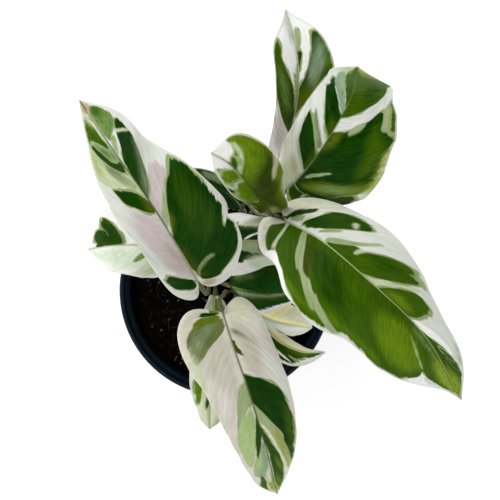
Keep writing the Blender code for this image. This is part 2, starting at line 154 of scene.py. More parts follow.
# Colours as they look in plain light, each as two tones that mix in fine streaks, with the
# softness of a patch's edge in mm and whether a pale grey-green line runs round it.
PALETTE = {
    "bright_white": ((232, 235, 228), (250, 251, 246), 0.4, False),
    "white": ((206, 209, 199), (226, 228, 220), 0.4, False),
    "mint": ((196, 212, 184), (222, 232, 212), 0.8, False),
    "warm_white": ((200, 196, 182), (224, 220, 208), 0.8, False),
    "grey_white": ((188, 191, 180), (208, 211, 200), 0.6, False),
    "pink": ((184, 172, 167), (204, 192, 192), 0.8, False),
    "deep_pink": ((168, 154, 147), (190, 177, 172), 1.0, False),
    "ivory": ((182, 178, 160), (202, 198, 182), 0.8, False),
    "beige": ((168, 162, 132), (192, 186, 158), 0.8, False),
    "cream": ((206, 208, 174), (226, 229, 202), 0.6, False),
    "yellow_cream": ((240, 244, 158), (255, 255, 194), 1.0, False),
    "pale_sage": ((178, 191, 150), (206, 215, 182), 0.5, False),
    "sage": ((138, 156, 106), (168, 182, 136), 0.5, False),
    "blue_sage": ((122, 150, 118), (156, 179, 148), 0.5, False),
    "grey_sage": ((98, 114, 80), (134, 148, 110), 0.6, False),
    "dull_green": ((80, 114, 50), (120, 148, 80), 0.6, False),
    "pale_green": ((150, 177, 112), (180, 201, 142), 0.6, False),
    "yellow_green": ((130, 148, 46), (162, 176, 76), 0.8, False),
    "olive_cream": ((142, 150, 76), (176, 184, 116), 0.8, False),
    "stalk_green": ((112, 130, 48), (140, 156, 76), 1.0, False),
    "olive": ((78, 94, 6), (102, 120, 20), 0.5, False),
    "olive_shade": ((40, 52, 2), (66, 80, 8), 0.5, False),
    "olive_grey": ((82, 92, 44), (112, 122, 70), 0.5, False),
    "dark": ((4, 42, 0), (22, 66, 0), 0.25, True),
    "sea_green": ((4, 56, 4), (26, 80, 18), 0.25, True),
    "forest": ((24, 58, 1), (46, 80, 4), 0.25, True),
    "mid": ((46, 78, 1), (66, 98, 4), 0.3, True),
    "bright": ((76, 108, 2), (104, 138, 14), 0.3, True),
    "tip_green": ((104, 130, 16), (140, 164, 52), 0.8, False),
    "tan": ((140, 118, 78), (196, 178, 140), 0.8, False),
}
# The soft patches of bright green are partly the blades' own lighter green and partly painted
# sheen, where folds would catch the light.
SOFT_EDGE = 3.0              # mm, for the patches called soft
DAYLIGHT = 1.08              # how much brighter the stage makes a face than its colour
HALO_TONES = ((126, 146, 92), (162, 178, 124))
# Colours that the back of a blade shows as dark purple
GREENS = ("dark", "forest", "mid", "bright", "olive", "olive_shade", "olive_grey", "grey_sage",
          "dull_green", "sea_green")

# Colours as shares of light, which the palette doesn't hold
FINE_VEIN = (0.30, 0.38, 0.16)
MIDRIB_SHADE = (0.05, 0.10, 0.012)
BACK_PALE = ((0.42, 0.30, 0.31), (0.58, 0.46, 0.44))
BACK_DEEP = ((0.10, 0.045, 0.065), (0.19, 0.12, 0.12))
BACK_VEIN = (0.36, 0.27, 0.24)
BACK_RIB = (0.33, 0.30, 0.13)
STALK_CUSHION = (0.105, 0.11, 0.034)
STALK_RIBS = (0.30, 0.32, 0.17)
POT_DUST = (0.06, 0.06, 0.055)
POT_SCUFF = (0.03, 0.055, 0.08)


LEAVES = (
    Leaf(name="west",
         midrib=((-10, 8, 202), (-18, 24, 220), (-29, 43, 232), (-44, 64, 230), (-63, 90, 212)),
         left=(4, 14, 16, 17, 14, 8, 3), right=(4.5, 20.5, 29.3, 24.4, 15.4, 11.7, 4),
         lobes=(20, 14),
         roll=(-14, -8), fold=(16, 10), curl=(36, 26), wave=(1.8, 2, 0.1),
         foot=(-7, 4), way=((-8, 5, 130), (-7, 2, 178)), reach=8, stalk_radius=1.5,
         # The soft olive_shade patch beside the midrib on the right half is partly the blade's dark
         # olive and partly painted shade, where that half darkens towards the midrib.
         ground="white", vein=("olive_cream", "olive_shade"), patches="""
L soft-stalk_green -20,0 100,0 50,15 20,40 -20,40
L soft-pale_sage 30,50 80,50 90,95 30,95
L soft-pink 250,0 700,0 690,55 600,72 450,75 300,50
L soft-deep_pink 340,5 520,5 600,20 500,35 380,28
L soft-grey_white 280,62 400,72 460,90 400,100 280,100
L pale_sage 720,0 970,0 970,100 720,100 705,85 740,65 765,40 765,15
L soft-olive_cream 735,80 780,86 820,82 830,95 740,95
L sage 770,10 800,8 815,40 810,70 780,68 770,40
L soft-grey_sage 785,35 810,35 815,70 785,68
L soft-dull_green 836,6 876,6 878,45 874,76 844,78 832,50
R soft-stalk_green -20,0 200,0 120,10 40,30 -20,40
R soft-beige 60,30 200,10 200,35 100,80 60,90
R soft-grey_sage 200,40 270,38 290,50 250,62 210,55
R pink 670,0 750,0 760,15 757,40 745,62 700,80 640,82 640,50
R sage 650,0 690,0 698,25 694,50 684,50 672,28
R soft-grey_white 752,62 775,58 800,90 780,100 680,100 690,90
L dark 80,36 120,45 170,52 200,70 220,82 240,84 260,75 275,60 275,40 270,22 250,12 200,9 140,14
    100,24
L dark 683,66 695,70 705,74 720,72 735,60 750,45 760,30 757,15 745,3 714,2 706,15 700,35 693,50
L soft-olive 712,3 745,3 748,14 714,15
R dark 275,10 320,7 400,4 500,0 610,0 625,7 655,18 672,28 679,40 675,58 664,70 648,76 638,86
    626,96 600,98 550,97 500,95 450,92 428,92 420,87 410,82 402,79 385,80 370,82 355,83 358,88
    362,93 350,96 330,98 302,97 280,93 270,88 264,82 260,74 254,64 234,58 206,54 200,45 194,33
    202,18 225,10
R dark 750,0 780,0 835,5 845,15 855,35 870,55 875,75 870,85 830,82 795,76 772,60 760,45 753,25
L forest 815,60 812,35 815,12 830,5 850,3 838,22 832,42 840,55 850,75 865,90 840,90 825,80
R soft-olive_shade 240,10 400,3 560,2 560,12 440,16 380,12 300,22 250,30
R soft-forest 450,40 620,40 650,84 520,88 450,80
R soft-olive 635,8 655,15 665,28 645,30
L mid 860,97 850,90 872,86 878,62 876,40 872,18 885,12 900,26 925,34 945,52 962,66 955,85 920,93
L soft-bright 920,42 950,50 955,80 930,85
R sage 855,5 885,5 885,40 870,40 860,20
R soft-grey_sage 750,2 768,2 776,30 788,55 800,70 792,74 770,56 757,30
R dull_green 882,6 962,8 970,40 962,78 938,90 905,92 880,87 876,60 885,40
R soft-mid 930,45 965,45 962,85 915,88
R grey_sage 285,5 350,7 400,14 425,27 412,40 380,48 345,52 375,42 392,32 382,23 340,15 285,10
R soft-olive 350,12 385,20 385,32 370,28
R cream 872,53 876,58 845,74 815,84 820,79 850,67
L soft-cream 935,0 970,0 970,100 950,100
L tan 962,0 1050,0 1050,100 962,100
R tan 968,0 1050,0 1050,100 962,100
L tan 945,2 955,2 958,60 948,64
""", uneven=((RIGHT, 0.22, 0.03, -1.1), (RIGHT, 0.26, 0.03, 1.6), (RIGHT, 0.30, 0.03, 0.8),
                 (RIGHT, 0.34, 0.03, -2.2), (RIGHT, 0.38, 0.03, -0.5))),
    Leaf(name="east",
         midrib=((30, 36, 203), (45, 27, 219), (66, 9, 224), (90, -13, 210), (116, -50, 178)),
         left=(4, 14, 22, 19, 12, 9, 4), right=(3, 18.5, 31.5, 26.5, 25.5, 16, 3.5),
         lobes=(16, 25),
         roll=(4, 4), fold=(14, 10), curl=(32, 26), wave=(2.0, 2, 0.6),
         foot=(3, 7), way=((7, 24, 128), (12, 46, 168), (18, 40, 185)), reach=6,
         stalk_radius=1.6, ground="white", vein=("pale_green", "olive_cream"), patches="""
L soft-stalk_green -20,0 100,0 50,15 20,40 -20,40
L soft-cream 50,45 300,50 300,95 60,95
L sage 210,8 330,10 335,22 300,32 250,28 210,20
L sage 463,12 475,12 487,25 480,42 465,46
L sage 485,76 500,74 520,60 540,45 548,30 545,12 535,5 508,8 512,25 525,42 510,60
L sage 600,86 625,88 635,97 610,98 585,97 580,90
L pale_sage 330,8 370,12 368,32 340,34 330,20
L pale_sage 640,86 660,80 672,72 680,55 695,38 703,20 708,0 660,0 670,20 665,45 650,65
L bright_white 800,4 834,2 856,20 866,45 876,68 850,75 825,40
L soft-grey_sage 810,93 870,90 875,96 820,98
L olive_shade 15,100 35,100 50,60 80,40 120,32 160,30 200,42 220,49 250,48 280,60 300,54 305,42
    270,30 220,22 170,12 130,12 100,16 60,28 20,60
L soft-dark 140,16 220,20 290,38 285,54 220,44 150,26
L forest 335,70 350,79 400,82 430,80 445,70 455,55 463,40 462,22 440,14 400,9 360,11 360,22 370,30
    365,45 350,55 340,62
L mid 548,84 562,88 575,90 585,86 590,80 600,86 620,90 635,75 655,55 670,30 667,10 650,0 580,0
    525,4 545,14 547,30 542,42 560,43 580,28 590,25 575,37 563,50 555,62 545,72
L mid 668,76 680,83 720,82 740,74 760,62 780,48 795,32 800,18 795,0 715,0 703,18 695,35 680,55
L soft-forest 555,50 600,45 630,50 610,80 560,80
L soft-bright 720,45 770,32 785,8 730,5 710,30
L cream 404,70 415,70 443,63 447,60 430,62 410,66
L pale_sage 546,47 560,45 590,25 575,28 555,40
L mid 838,0 858,20 870,45 882,70 893,84 925,90 960,86 1040,80 1040,0
L forest 872,22 882,32 892,55 892,76 880,62
L forest 895,38 905,42 912,80 900,84 900,60
R mid 150,4 128,20 118,48 120,64 152,74 175,77 190,80 205,86 209,84 208,76 202,62 204,50 201,32
    198,12
R mid 250,0 232,20 219,38 216,53 218,63 221,71 233,74 246,74 262,70 272,80 280,85 290,89 303,93
    325,95 400,95 470,96 460,90 445,84 430,82 418,78 412,66 405,55 395,50 380,48 374,40 385,28
    395,18 405,0
R mid 425,0 920,0 1040,20 1040,92 970,92 925,88 900,82 880,74 868,68 868,80 850,88 822,92 790,98
    700,99 640,97 600,95 550,94 500,95 490,90 475,80 460,70 445,60 425,50 428,40 435,25
R soft-cream 40,55 200,84 200,100 40,100
R soft-bright_white 60,86 300,90 300,100 60,100
R soft-olive_shade 410,50 430,30 445,10 500,8 470,40 440,55
R soft-forest 470,10 600,10 600,60 500,72 470,60
R soft-bright 700,25 820,15 860,50 860,80 700,90
R soft-bright 280,76 450,84 600,84 700,86 700,96 450,89 280,86
R pale_sage 198,10 240,1 232,20 219,38 216,53 218,63 212,72 209,76 202,62 204,50 201,32
R sage 395,2 390,18 384,24 370,32 362,40 370,48 376,54 390,52 401,56 405,62 408,69 414,79 419,86
    440,85 447,89 457,94 470,97 485,100 505,100 500,98 487,94 478,87 470,80 465,73 465,68 458,69
    450,69 452,61 453,57 443,54 425,53 419,50 424,42 430,32 439,20 440,8 430,0
R bright_white 208,80 221,73 233,76 246,76 262,72 272,82 280,87 280,100 195,100 200,88
R bright_white 820,97 835,92 852,88 866,80 868,68 876,76 882,90 910,93 940,95 940,100 820,100
R soft-dull_green 820,6 900,8 900,18 830,16
R pale_green 815,24 822,25 870,64 869,68 840,48
R soft-tip_green 885,10 940,5 1040,10 1040,90 950,80 920,75
L soft-tip_green 925,0 1050,0 1050,100 940,90 930,40
""", uneven=((RIGHT, 0.19, 0.025, 0.6), (RIGHT, 0.225, 0.025, -2.2), (RIGHT, 0.26, 0.025, 2.1),
                 (RIGHT, 0.295, 0.025, 1.5))),
    Leaf(name="south",
         midrib=((1, -7, 190), (6, -21, 202), (13, -42, 199), (20, -68, 180), (28, -104, 142)),
         left=(7, 16, 19, 19, 16, 10, 4), right=(12, 25, 21, 17.5, 15, 12, 7), lobes=(17, 20),
         roll=(0, 0), fold=(8, 10), curl=(40, 30), wave=(1.2, 1.5, 0.3),
         foot=(1, -1), way=((0, 0, 130), (1, 1, 172)), reach=8, stalk_radius=1.4,
         ground="warm_white", vein=("olive", "olive_shade"), patches="""
L soft-stalk_green -20,0 60,0 30,20 10,50 -20,50
L soft-beige 20,0 220,0 180,20 80,30 40,80 20,80
L soft-cream 80,40 250,15 280,60 150,90 60,90
L soft-ivory 300,8 590,6 560,50 400,60 300,50
R soft-ivory 50,30 600,8 640,40 550,60 420,70 300,92 100,90
L soft-white 400,55 530,60 530,98 360,98
L soft-grey_sage 375,8 425,5 420,30 405,38 388,30
L olive_shade 455,0 470,5 490,7 510,17 525,17 530,8 520,0
L sage 705,0 770,0 800,20 830,50 855,75 880,95 800,99 760,80 730,50 715,20
L olive_cream 745,45 790,45 820,65 830,75 870,90 860,97 800,97 790,80 760,70 745,60
L cream 765,3 785,8 810,28 840,50 870,70 910,82 960,97 900,100 860,85 830,62 790,35 770,15
L pale_green 830,0 970,0 960,18 900,14 840,10
L dark 540,72 550,82 580,84 600,90 660,93 720,94 800,97 830,98 800,88 775,78 768,68 745,70 740,55
    735,40 720,22 710,10 700,0 610,0 605,12 595,25 580,40 565,55 550,65
L forest 765,0 800,13 830,38 845,58 870,70 900,76 940,88 970,93 972,60 965,30 955,18 900,13 840,8
    820,0
L soft-mid 600,80 700,80 800,90 780,96 620,93
L soft-bright 860,45 890,40 900,68 875,68
L soft-bright 930,30 960,30 965,85 940,80
R bright 16,100 34,100 50,75 75,50 110,38 110,12 70,12 35,30 18,65
R cream 36,100 50,77 70,55 95,42 90,52 65,72 47,100
R olive 140,10 220,6 225,30 215,60 190,64 170,56 155,40
R olive_grey 195,5 340,3 380,10 380,22 362,40 342,52 334,66 318,72 312,80 298,87 262,88 232,82
    212,70 200,55
R soft-olive 195,8 250,6 245,40 215,60 195,50
R soft-grey_sage 235,25 280,25 300,60 280,80 240,70
R soft-pale_sage 245,82 320,80 370,88 400,95 370,98 280,97
R dark 85,15 140,13 160,30 150,50 130,60 100,58 88,35
R sage 615,22 625,10 640,0 710,0 705,30 695,50 695,70 675,68 660,55 640,52 625,40
R pale_green 700,15 720,8 780,6 800,20 830,40 850,60 860,75 850,85 800,87 740,88 700,82 685,72
    690,50
R cream 699,10 706,10 708,32 700,36
R blue_sage 810,5 900,5 930,20 930,55 900,85 870,80 850,50 825,20
R soft-pale_green 840,20 880,20 900,60 880,80 860,60
R yellow_green 910,4 980,4 980,60 955,50 930,30
R pale_sage 900,10 955,10 955,45 930,42
R forest 735,0 800,0 815,5 835,20 850,35 857,42 845,42 830,36 810,30 790,20 760,8
R mid 915,60 925,52 945,47 955,65 965,80 980,98 955,100 938,85 930,70
L yellow_green 965,0 985,0 985,100 972,100
R soft-yellow_green 965,0 985,0 985,70 972,70
"""),
    Leaf(name="northeast",
         midrib=((31, 51, 188), (39, 59, 214), (47, 70, 234), (55, 84, 236), (62, 105, 213)),
         left=(6, 12, 15, 16, 16, 13, 9), right=(4, 14.5, 26.5, 29.3, 25.4, 18, 13.5),
         lobes=(2, 18),
         roll=(6, 0), fold=(12, 10), curl=(30, 30), wave=(2.0, 2, 0.4),
         foot=(8, 11), way=((14, 26, 128), (26, 44, 166)), reach=6, stalk_radius=1.5,
         ground="white", vein=("sage", "olive"), patches="""
L soft-pale_sage 0,0 580,0 590,50 450,70 0,60
L soft-cream 300,70 500,80 600,70 600,95 300,95
L soft-beige 500,15 570,15 570,50 520,50
L soft-blue_sage 600,12 650,20 680,60 680,78 640,72 610,45
L grey_sage 735,4 760,5 770,25 765,50 755,72 735,72 740,40
L blue_sage 790,38 797,34 801,60 800,70 793,68
L dark 600,0 610,10 635,30 645,50 650,68 670,77 700,83 720,78 735,60 742,40 735,20 720,8 700,0
L dark 790,30 800,60 805,74 820,82 860,84 900,76 895,70 865,66 855,50 850,30 842,10 845,0 790,0
    790,15
L soft-mid 600,0 730,0 720,12 620,12
L soft-mid 790,0 820,0 820,22 790,25
L blue_sage 845,3 852,30 858,55 875,66 900,72 940,75 960,62 950,48 930,40 900,33 880,22 865,8
L mid 855,0 1040,0 1040,45 970,50 950,45 900,32 880,20
R soft-stalk_green -20,0 120,0 60,30 20,60 -20,60
R yellow_green 30,10 140,3 140,60 100,97 30,97
R forest 120,4 500,0 490,20 500,60 480,90 200,97 110,97 130,60
R dark 400,0 780,0 804,2 806,12 800,22 806,33 812,42 813,58 815,64 819,69 821,76 822,81 797,82
    773,79 757,87 745,97 700,95 650,91 610,92 550,93 500,88 480,60 400,50
R soft-olive 460,10 540,14 575,28 580,50 575,75 550,88 500,86 470,60 470,30
R soft-dull_green 490,30 560,35 570,70 500,80
R soft-mid 600,70 720,64 800,68 780,78 700,92 620,84
R soft-olive 750,3 800,4 803,15 780,20
R sage 790,30 806,31 814,41 813,56 800,54 792,44
R sage 773,80 797,83 814,84 825,88 830,94 815,95 795,93 775,90 757,87
R mid 740,96 757,91 775,93 795,95 815,97 832,98 838,100 740,100
R sage 100,97 200,42 340,24 420,28 410,31 340,29 220,47 130,97
R sage 540,4 600,10 630,19 656,32 655,36 634,32 611,22 585,13 540,6
R white 806,0 832,0 840,15 849,38 855,50 858,62 865,69 872,77 890,80 905,80 928,88 948,100 842,100
    845,97 838,93 836,88 828,84 823,81 822,76 820,69 816,64 814,58 815,49 815,40 807,33 808,20
    806,8
R mid 838,0 1040,0 1040,100 948,100 928,88 905,80 890,80 872,77 865,69 858,62 855,50 849,38 843,20
    840,8
R soft-forest 870,30 930,30 930,65 880,60
R soft-yellow_green 970,10 1050,10 1050,90 970,90
R soft-yellow_green 460,92 600,94 660,93 700,97 660,100 460,100
L soft-pale_green 955,50 985,40 985,90 955,90
""", uneven=((RIGHT, 0.72, 0.03, 1.2), (RIGHT, 0.82, 0.025, -1.4),
                 (RIGHT, 0.955, 0.02, 2.0))),
    Leaf(name="north",
         midrib=((29, 70, 160), (34, 83, 186), (36, 97, 200), (35, 115, 203), (30, 134, 199)),
         left=(3, 7, 9, 10, 11, 10, 3), right=(4, 7, 10, 13, 17, 12, 4), lobes=(6, 2),
         roll=(0, 0), fold=(28, 20), curl=(20, 20), wave=(1.0, 1.5, 0.0),
         foot=(3, 13), way=((12, 38, 122),), reach=8, stalk_radius=1.4,
         ground="bright_white", vein=("pale_green", "pale_green"), patches="""
L soft-white 300,15 600,12 620,70 550,90 300,60
R soft-pale_sage 300,2 660,0 700,10 600,30 300,35
R pale_sage 640,12 700,4 740,20 768,40 768,60 745,85 700,90 680,50
R mid 150,20 350,20 400,60 300,90 200,60
L mid 600,0 690,0 760,10 800,22 812,35 820,55 830,72 870,80 878,100 610,100 620,80 615,50 605,20
L soft-forest 620,3 700,5 780,30 800,60 760,80 700,50
L pale_green 690,0 890,0 870,7 840,20 800,20 740,9
L grey_sage 820,13 838,13 842,20 825,21
L soft-grey_sage 925,20 935,20 940,42 928,42
R forest 690,0 740,12 765,30 775,50 765,70 745,90 730,96 790,96 830,98 880,96 886,80 870,68 855,50
    840,35 825,18 800,0
R soft-olive 730,4 790,6 795,50 778,62 770,30
L soft-dull_green 680,40 740,30 790,60 770,80 700,75
R soft-bright 750,88 800,86 840,92 800,95
R soft-blue_sage 800,40 830,38 845,60 850,85 820,87 790,80 797,60
R dark 860,0 900,0 900,5 892,25 880,18 865,8
R sage 900,3 930,5 950,20 945,45 935,62 920,50 905,30
R soft-grey_sage 810,45 825,45 830,75 810,75
L soft-beige 955,30 970,30 975,100 955,100
"""),
    Leaf(name="cupped",
         midrib=((23, 40, 200), (17, 46, 222), (12, 52, 234), (5, 59, 241.2), (-3, 64, 236)),
         left=(2, 3, 5, 6, 9, 8, 3), right=(4, 8.5, 11.5, 14, 17.2, 15.4, 6), lobes=(2, 9),
         roll=(0, 0), fold=(35, 25), curl=(10, 10), wave=(0.5, 1.5, 0.0),
         foot=(13, 8), way=((20, 30, 128), (21, 47, 174)), reach=6, stalk_radius=1.3,
         # On the right half, the soft olive_shade patches and the soft dark patch inside them are
         # painted shade: the shadow in the hollow of the cupped half.
         ground="olive", vein=(), patches="""
L soft-olive_cream -20,0 420,0 380,40 200,50 -20,50
R soft-olive_cream -20,0 450,0 380,30 200,45 -20,80
L soft-cream 200,60 280,60 370,55 350,70 250,95 100,95
L soft-olive_shade 400,50 480,40 660,18 680,35 550,60 420,90
L mid 480,100 540,78 630,62 660,68 620,90 570,100
L soft-pale_sage 620,88 700,85 740,90 720,100 580,100
L bright 660,0 840,0 845,30 832,60 800,75 720,82 680,50
L forest 755,90 780,80 800,86 800,100 760,100
L pale_sage 790,62 820,72 845,55 858,30 857,10 842,10 847,33 832,55
L pale_sage 790,74 800,90 810,97 832,90 822,76
L bright 862,12 900,10 905,40 895,75 870,90 835,97 840,75 862,50
L white 905,0 1050,0 1050,100 895,100 903,80 912,40
L pale_sage 860,0 905,0 905,8 870,9
R soft-olive_shade 220,55 380,36 520,12 700,0 780,0 800,10 830,30 830,60 810,95 785,90 760,70
    755,55 700,50 450,50 300,60
R soft-dark 760,35 800,28 825,40 825,60 805,85 785,80 765,60
R soft-olive_shade 560,40 760,20 800,40 790,70 600,60
R soft-pale_sage 300,97 450,87 620,82 660,87 600,100 300,100
R beige 728,65 742,58 754,62 762,75 800,100 710,94 730,85
R soft-bright 820,5 860,3 885,20 895,50 900,80 920,93 860,95 835,90 840,50
R pale_sage 862,0 880,10 893,30 897,50 900,78 930,87 915,80 908,50 906,25 900,0
R mid 900,0 925,3 932,25 922,45 911,30 905,10
R white 930,0 1050,0 1050,100 930,100 930,90 915,75 918,50 932,30
"""),
    Leaf(name="low_west",
         midrib=((-16, 21, 150), (-27, 23, 165), (-39, 25, 172), (-52, 25, 170), (-68, 23, 156)),
         left=(5, 11, 14, 16, 14, 11, 6), right=(3, 8, 13, 17, 20, 15, 7), lobes=(2, 2),
         roll=(0, 0), fold=(20, 20), curl=(30, 30), wave=(1.0, 1.5, 0.2),
         foot=(-11, 8), way=((-12, 15, 125),), reach=5, stalk_radius=1.3,
         ground="bright_white", vein=("pale_green", "pale_green"), patches="""
L soft-mint 100,8 990,8 990,80 500,90 100,80
L soft-pale_sage 520,60 600,55 640,92 540,98
R soft-mint 560,5 800,5 810,60 700,80 560,80
R forest 843,2 965,2 950,18 942,24 948,58 935,68 920,70 893,70 880,60 870,53 875,36 868,44 866,50
    864,60 870,72 865,78 850,83 838,87 830,87 823,76 823,66 824,57 828,45 831,33 835,17
R soft-dark 830,10 890,8 880,60 850,70
L dull_green 700,14 735,10 748,38 738,62 712,64 700,40
R mid 200,5 450,3 460,40 400,85 200,80
L mid 250,5 420,3 450,50 400,90 280,80
"""),
    Leaf(name="inner_east",
         midrib=((-6, 25, 160), (6, 27, 172), (20, 27, 178), (33, 24, 176), (47, 20, 166)),
         left=(5, 11, 14, 12, 10, 6, 3), right=(7, 15, 17, 15, 10, 6, 3), lobes=(2, 4),
         roll=(0, 0), fold=(18, 14), curl=(30, 30), wave=(1.0, 1.5, 0.5),
         foot=(-3, 9), way=((-7, 20, 132),), reach=5, stalk_radius=1.3,
         ground="bright_white", vein=("pale_green", "pale_green"), patches="""
R dark 50,0 1000,0 1000,62 820,64 700,72 600,66 400,74 100,60
L dark 50,0 620,0 690,2 785,2 785,30 765,62 730,46 700,60 660,66 600,58 400,70 100,60
R sage 560,0 760,0 740,25 715,50 690,60 650,52 610,30
R soft-mint 560,66 900,70 900,100 560,100
L bright_white 672,4 690,3 720,32 745,62 730,62 700,34
L soft-sage 550,62 800,70 800,100 550,100
"""),
    Leaf(name="low_southeast",
         midrib=((3, 4, 140), (12, 2, 151), (22, 1, 155), (33, 2, 153), (44, 5, 145)),
         left=(3, 8, 14, 16, 15, 10, 5), right=(2, 4, 7, 11, 8, 6, 3), lobes=(2, 1),
         roll=(12, 12), fold=(18, 14), curl=(34, 30), wave=(0.8, 1.5, 0.0),
         foot=(6, 3), way=(), reach=4, stalk_radius=1.2,
         ground="sea_green", vein=("sage", "sea_green"), patches="""
L soft-dull_green 300,40 520,34 640,50 500,58 320,56
L soft-forest 200,65 500,70 850,65 900,85 300,88
R soft-sage 250,0 400,8 700,14 930,16 940,30 800,36 650,32 450,20
R sage 400,9 560,11 700,17 900,20 860,27 700,27 520,18
R soft-forest 300,35 900,35 900,60 300,60
R bright_white 300,90 600,86 1000,84 1000,100 300,100
L pale_sage 100,90 500,94 900,92 900,100 100,100
"""),
    Leaf(name="cream",
         midrib=((12, -6, 124), (20, -12, 134), (28, -15, 137), (38, -17, 135), (47, -19, 127)),
         left=(3, 9, 12, 13, 11, 6, 3), right=(2, 3, 4, 6, 7, 6, 3), lobes=(2, 1),
         roll=(24, 24), fold=(14, 14), curl=(40, 30), wave=(0.5, 1, 0.0),
         foot=(11, -1), way=(), reach=4, stalk_radius=1.1,
         ground="yellow_cream", vein=("cream", "cream"), patches="""
L soft-yellow_green -20,0 250,0 400,30 350,90 -20,90
L soft-cream 700,50 950,30 1000,60 1000,100 700,100
R mint 50,0 1000,0 1000,100 50,100
R soft-bright_white 760,20 950,20 950,60 800,70
R sage 690,55 740,60 750,100 690,100
"""),
    Leaf(name="pointed",
         midrib=((16, -11, 108), (23, -21, 119), (30, -27, 124), (41, -32, 124), (55, -33, 116)),
         left=(2, 3, 4, 5, 4, 2, 1), right=(2, 3, 5, 8, 9, 5, 2), lobes=(0, 0),
         roll=(0, 0), fold=(22, 18), curl=(16, 10), wave=(0.5, 1, 0.0),
         foot=(8, -7), way=(), reach=4, stalk_radius=1.0,
         ground="yellow_cream", vein=("cream", "cream"), patches="""
L soft-olive_cream 300,2 1000,2 1000,30 300,30
L soft-cream 400,70 1000,70 1000,100 400,100
R bright_white 300,5 1000,2 1000,100 300,100
R forest 640,15 700,4 790,2 880,5 960,4 985,30 950,62 900,62 860,50 845,66 800,62 770,58 790,80
    765,92 700,90 660,70
R bright_white 668,24 682,20 745,60 760,86 742,84 715,60
R soft-bright 800,10 900,10 940,40 860,44
"""),
    Leaf(name="low_south",
         midrib=((-5, -2, 134), (-5, -14, 147), (-5, -33, 149), (-7, -53, 140), (-8, -74, 123)),
         left=(2, 6, 10, 12, 11, 8, 5), right=(2, 4, 10, 12, 11, 7, 4), lobes=(6, 7),
         roll=(0, 0), fold=(16, 12), curl=(34, 30), wave=(0.8, 1.5, 0.2),
         foot=(-5, -3), way=(), reach=4, stalk_radius=1.2,
         ground="pale_sage", vein=("pale_green", "pale_green"), patches="""
L soft-cream 450,10 1000,5 1000,60 450,70
R soft-cream 300,60 900,50 1000,60 1000,100 300,100
R soft-white 300,70 620,60 760,72 700,100 300,100
L bright 180,10 330,0 500,0 460,40 430,80 300,84 240,50
R bright 690,50 800,55 850,66 845,88 760,86 700,80
R soft-olive_cream 560,4 700,8 690,40 560,40
R forest 865,3 905,8 912,32 885,36 870,20
L soft-sage 600,70 1000,60 1000,100 600,100
"""),
    Leaf(name="low_northwest",
         midrib=((10, 44, 146), (4, 50, 160), (-4, 54, 167), (-13, 57, 168), (-22, 59, 162)),
         left=(2, 4, 7, 8, 8, 6, 3), right=(2, 4, 6, 8, 7, 6, 4), lobes=(1, 1),
         roll=(0, 0), fold=(18, 14), curl=(28, 26), wave=(0.6, 1, 0.3),
         foot=(-3, 14), way=((6, 32, 122),), reach=4, stalk_radius=1.1,
         ground="dark", vein=("sage", "forest"), patches="""
R grey_sage 700,35 840,35 850,80 720,80
R soft-white 200,60 700,60 700,100 200,100
L white 300,80 600,75 600,100 300,100
"""),
)
BIG_LEAVES = ("west", "east", "south", "northeast", "north")


# Colours

def linear(part):
    """One part of a colour from 0 to 255, as a share of light."""
    return ((part / 255 + 0.055) / 1.055) ** 2.4 if part > 10 else part / 255 / 12.92


def tones(name):
    """The two tones of a palette colour, as the share of light that each part sends back."""
    pair = HALO_TONES if name == "halo" else PALETTE[name.removeprefix("soft-")][:2]
    return tuple(tuple(linear(part) / DAYLIGHT for part in tone) for tone in pair)


# Curves and blade form, in millimetres

def through(knots, values, at):
    """A smooth curve through the values at the knots, read at the places asked for."""
    knots = np.asarray(knots, float)
    values = np.asarray(values, float)
    values = values.reshape(len(knots), -1)
    at = np.asarray(at, float)
    slopes = np.gradient(values, knots, axis=0)
    i = np.clip(np.searchsorted(knots, at) - 1, 0, len(knots) - 2)
    h = (knots[i + 1] - knots[i])[..., None]
    s = (at - knots[i])[..., None] / h
    return (values[i] * (1 + 2 * s) * (1 - s) ** 2 + values[i + 1] * s * s * (3 - 2 * s)
            + slopes[i] * h * s * (1 - s) ** 2 - slopes[i + 1] * h * s * s * (1 - s))


def polyline(points, samples=400):
    """A dense smooth line through a few points, with the run of length along it."""
    points = np.array(points, float)
    chord = np.r_[0, np.cumsum(np.linalg.norm(np.diff(points, axis=0), axis=1))]
    line = through(chord, points, np.linspace(0, chord[-1], samples))
    run = np.r_[0, np.cumsum(np.linalg.norm(np.diff(line, axis=0), axis=1))]
    return line, run


class Midrib:
    """The blade's middle line, read by length and carried on straight past both ends."""

    def __init__(self, points):
        self.line, self.run = polyline(points)
        self.length = self.run[-1]
        tangents = np.gradient(self.line, self.run, axis=0)
        self.tangents = tangents / np.linalg.norm(tangents, axis=1)[:, None]

    def frame(self, x):
        """Point, forward, rightward and upward direction at length x."""
        inside = np.clip(x, 0, self.length)
        point = np.stack([np.interp(inside, self.run, self.line[:, k]) for k in range(3)], -1)
        forward = np.stack([np.interp(inside, self.run, self.tangents[:, k])
                            for k in range(3)], -1)
        forward /= np.linalg.norm(forward, axis=-1, keepdims=True)
        point = point + forward * (x - inside)[..., None]
        rightward = np.cross(forward, (0.0, 0.0, 1.0))
        rightward /= np.linalg.norm(rightward, axis=-1, keepdims=True)
        return point, forward, rightward, np.cross(rightward, forward)


def half_widths(leaf, side, u):
    """Half width of one side where the side vein u meets the margin."""
    knots = np.array(WIDTH_STATIONS) ** (1 / MARGIN_SWEEP)
    stations = leaf.right if side == RIGHT else leaf.left
    width = through(knots, (0, *stations, 0), u)[..., 0]
    for edge, place, spread, height in leaf.uneven:
        if edge == side:
            width = width + height * np.exp(-((u - place) / spread) ** 2)
    return width


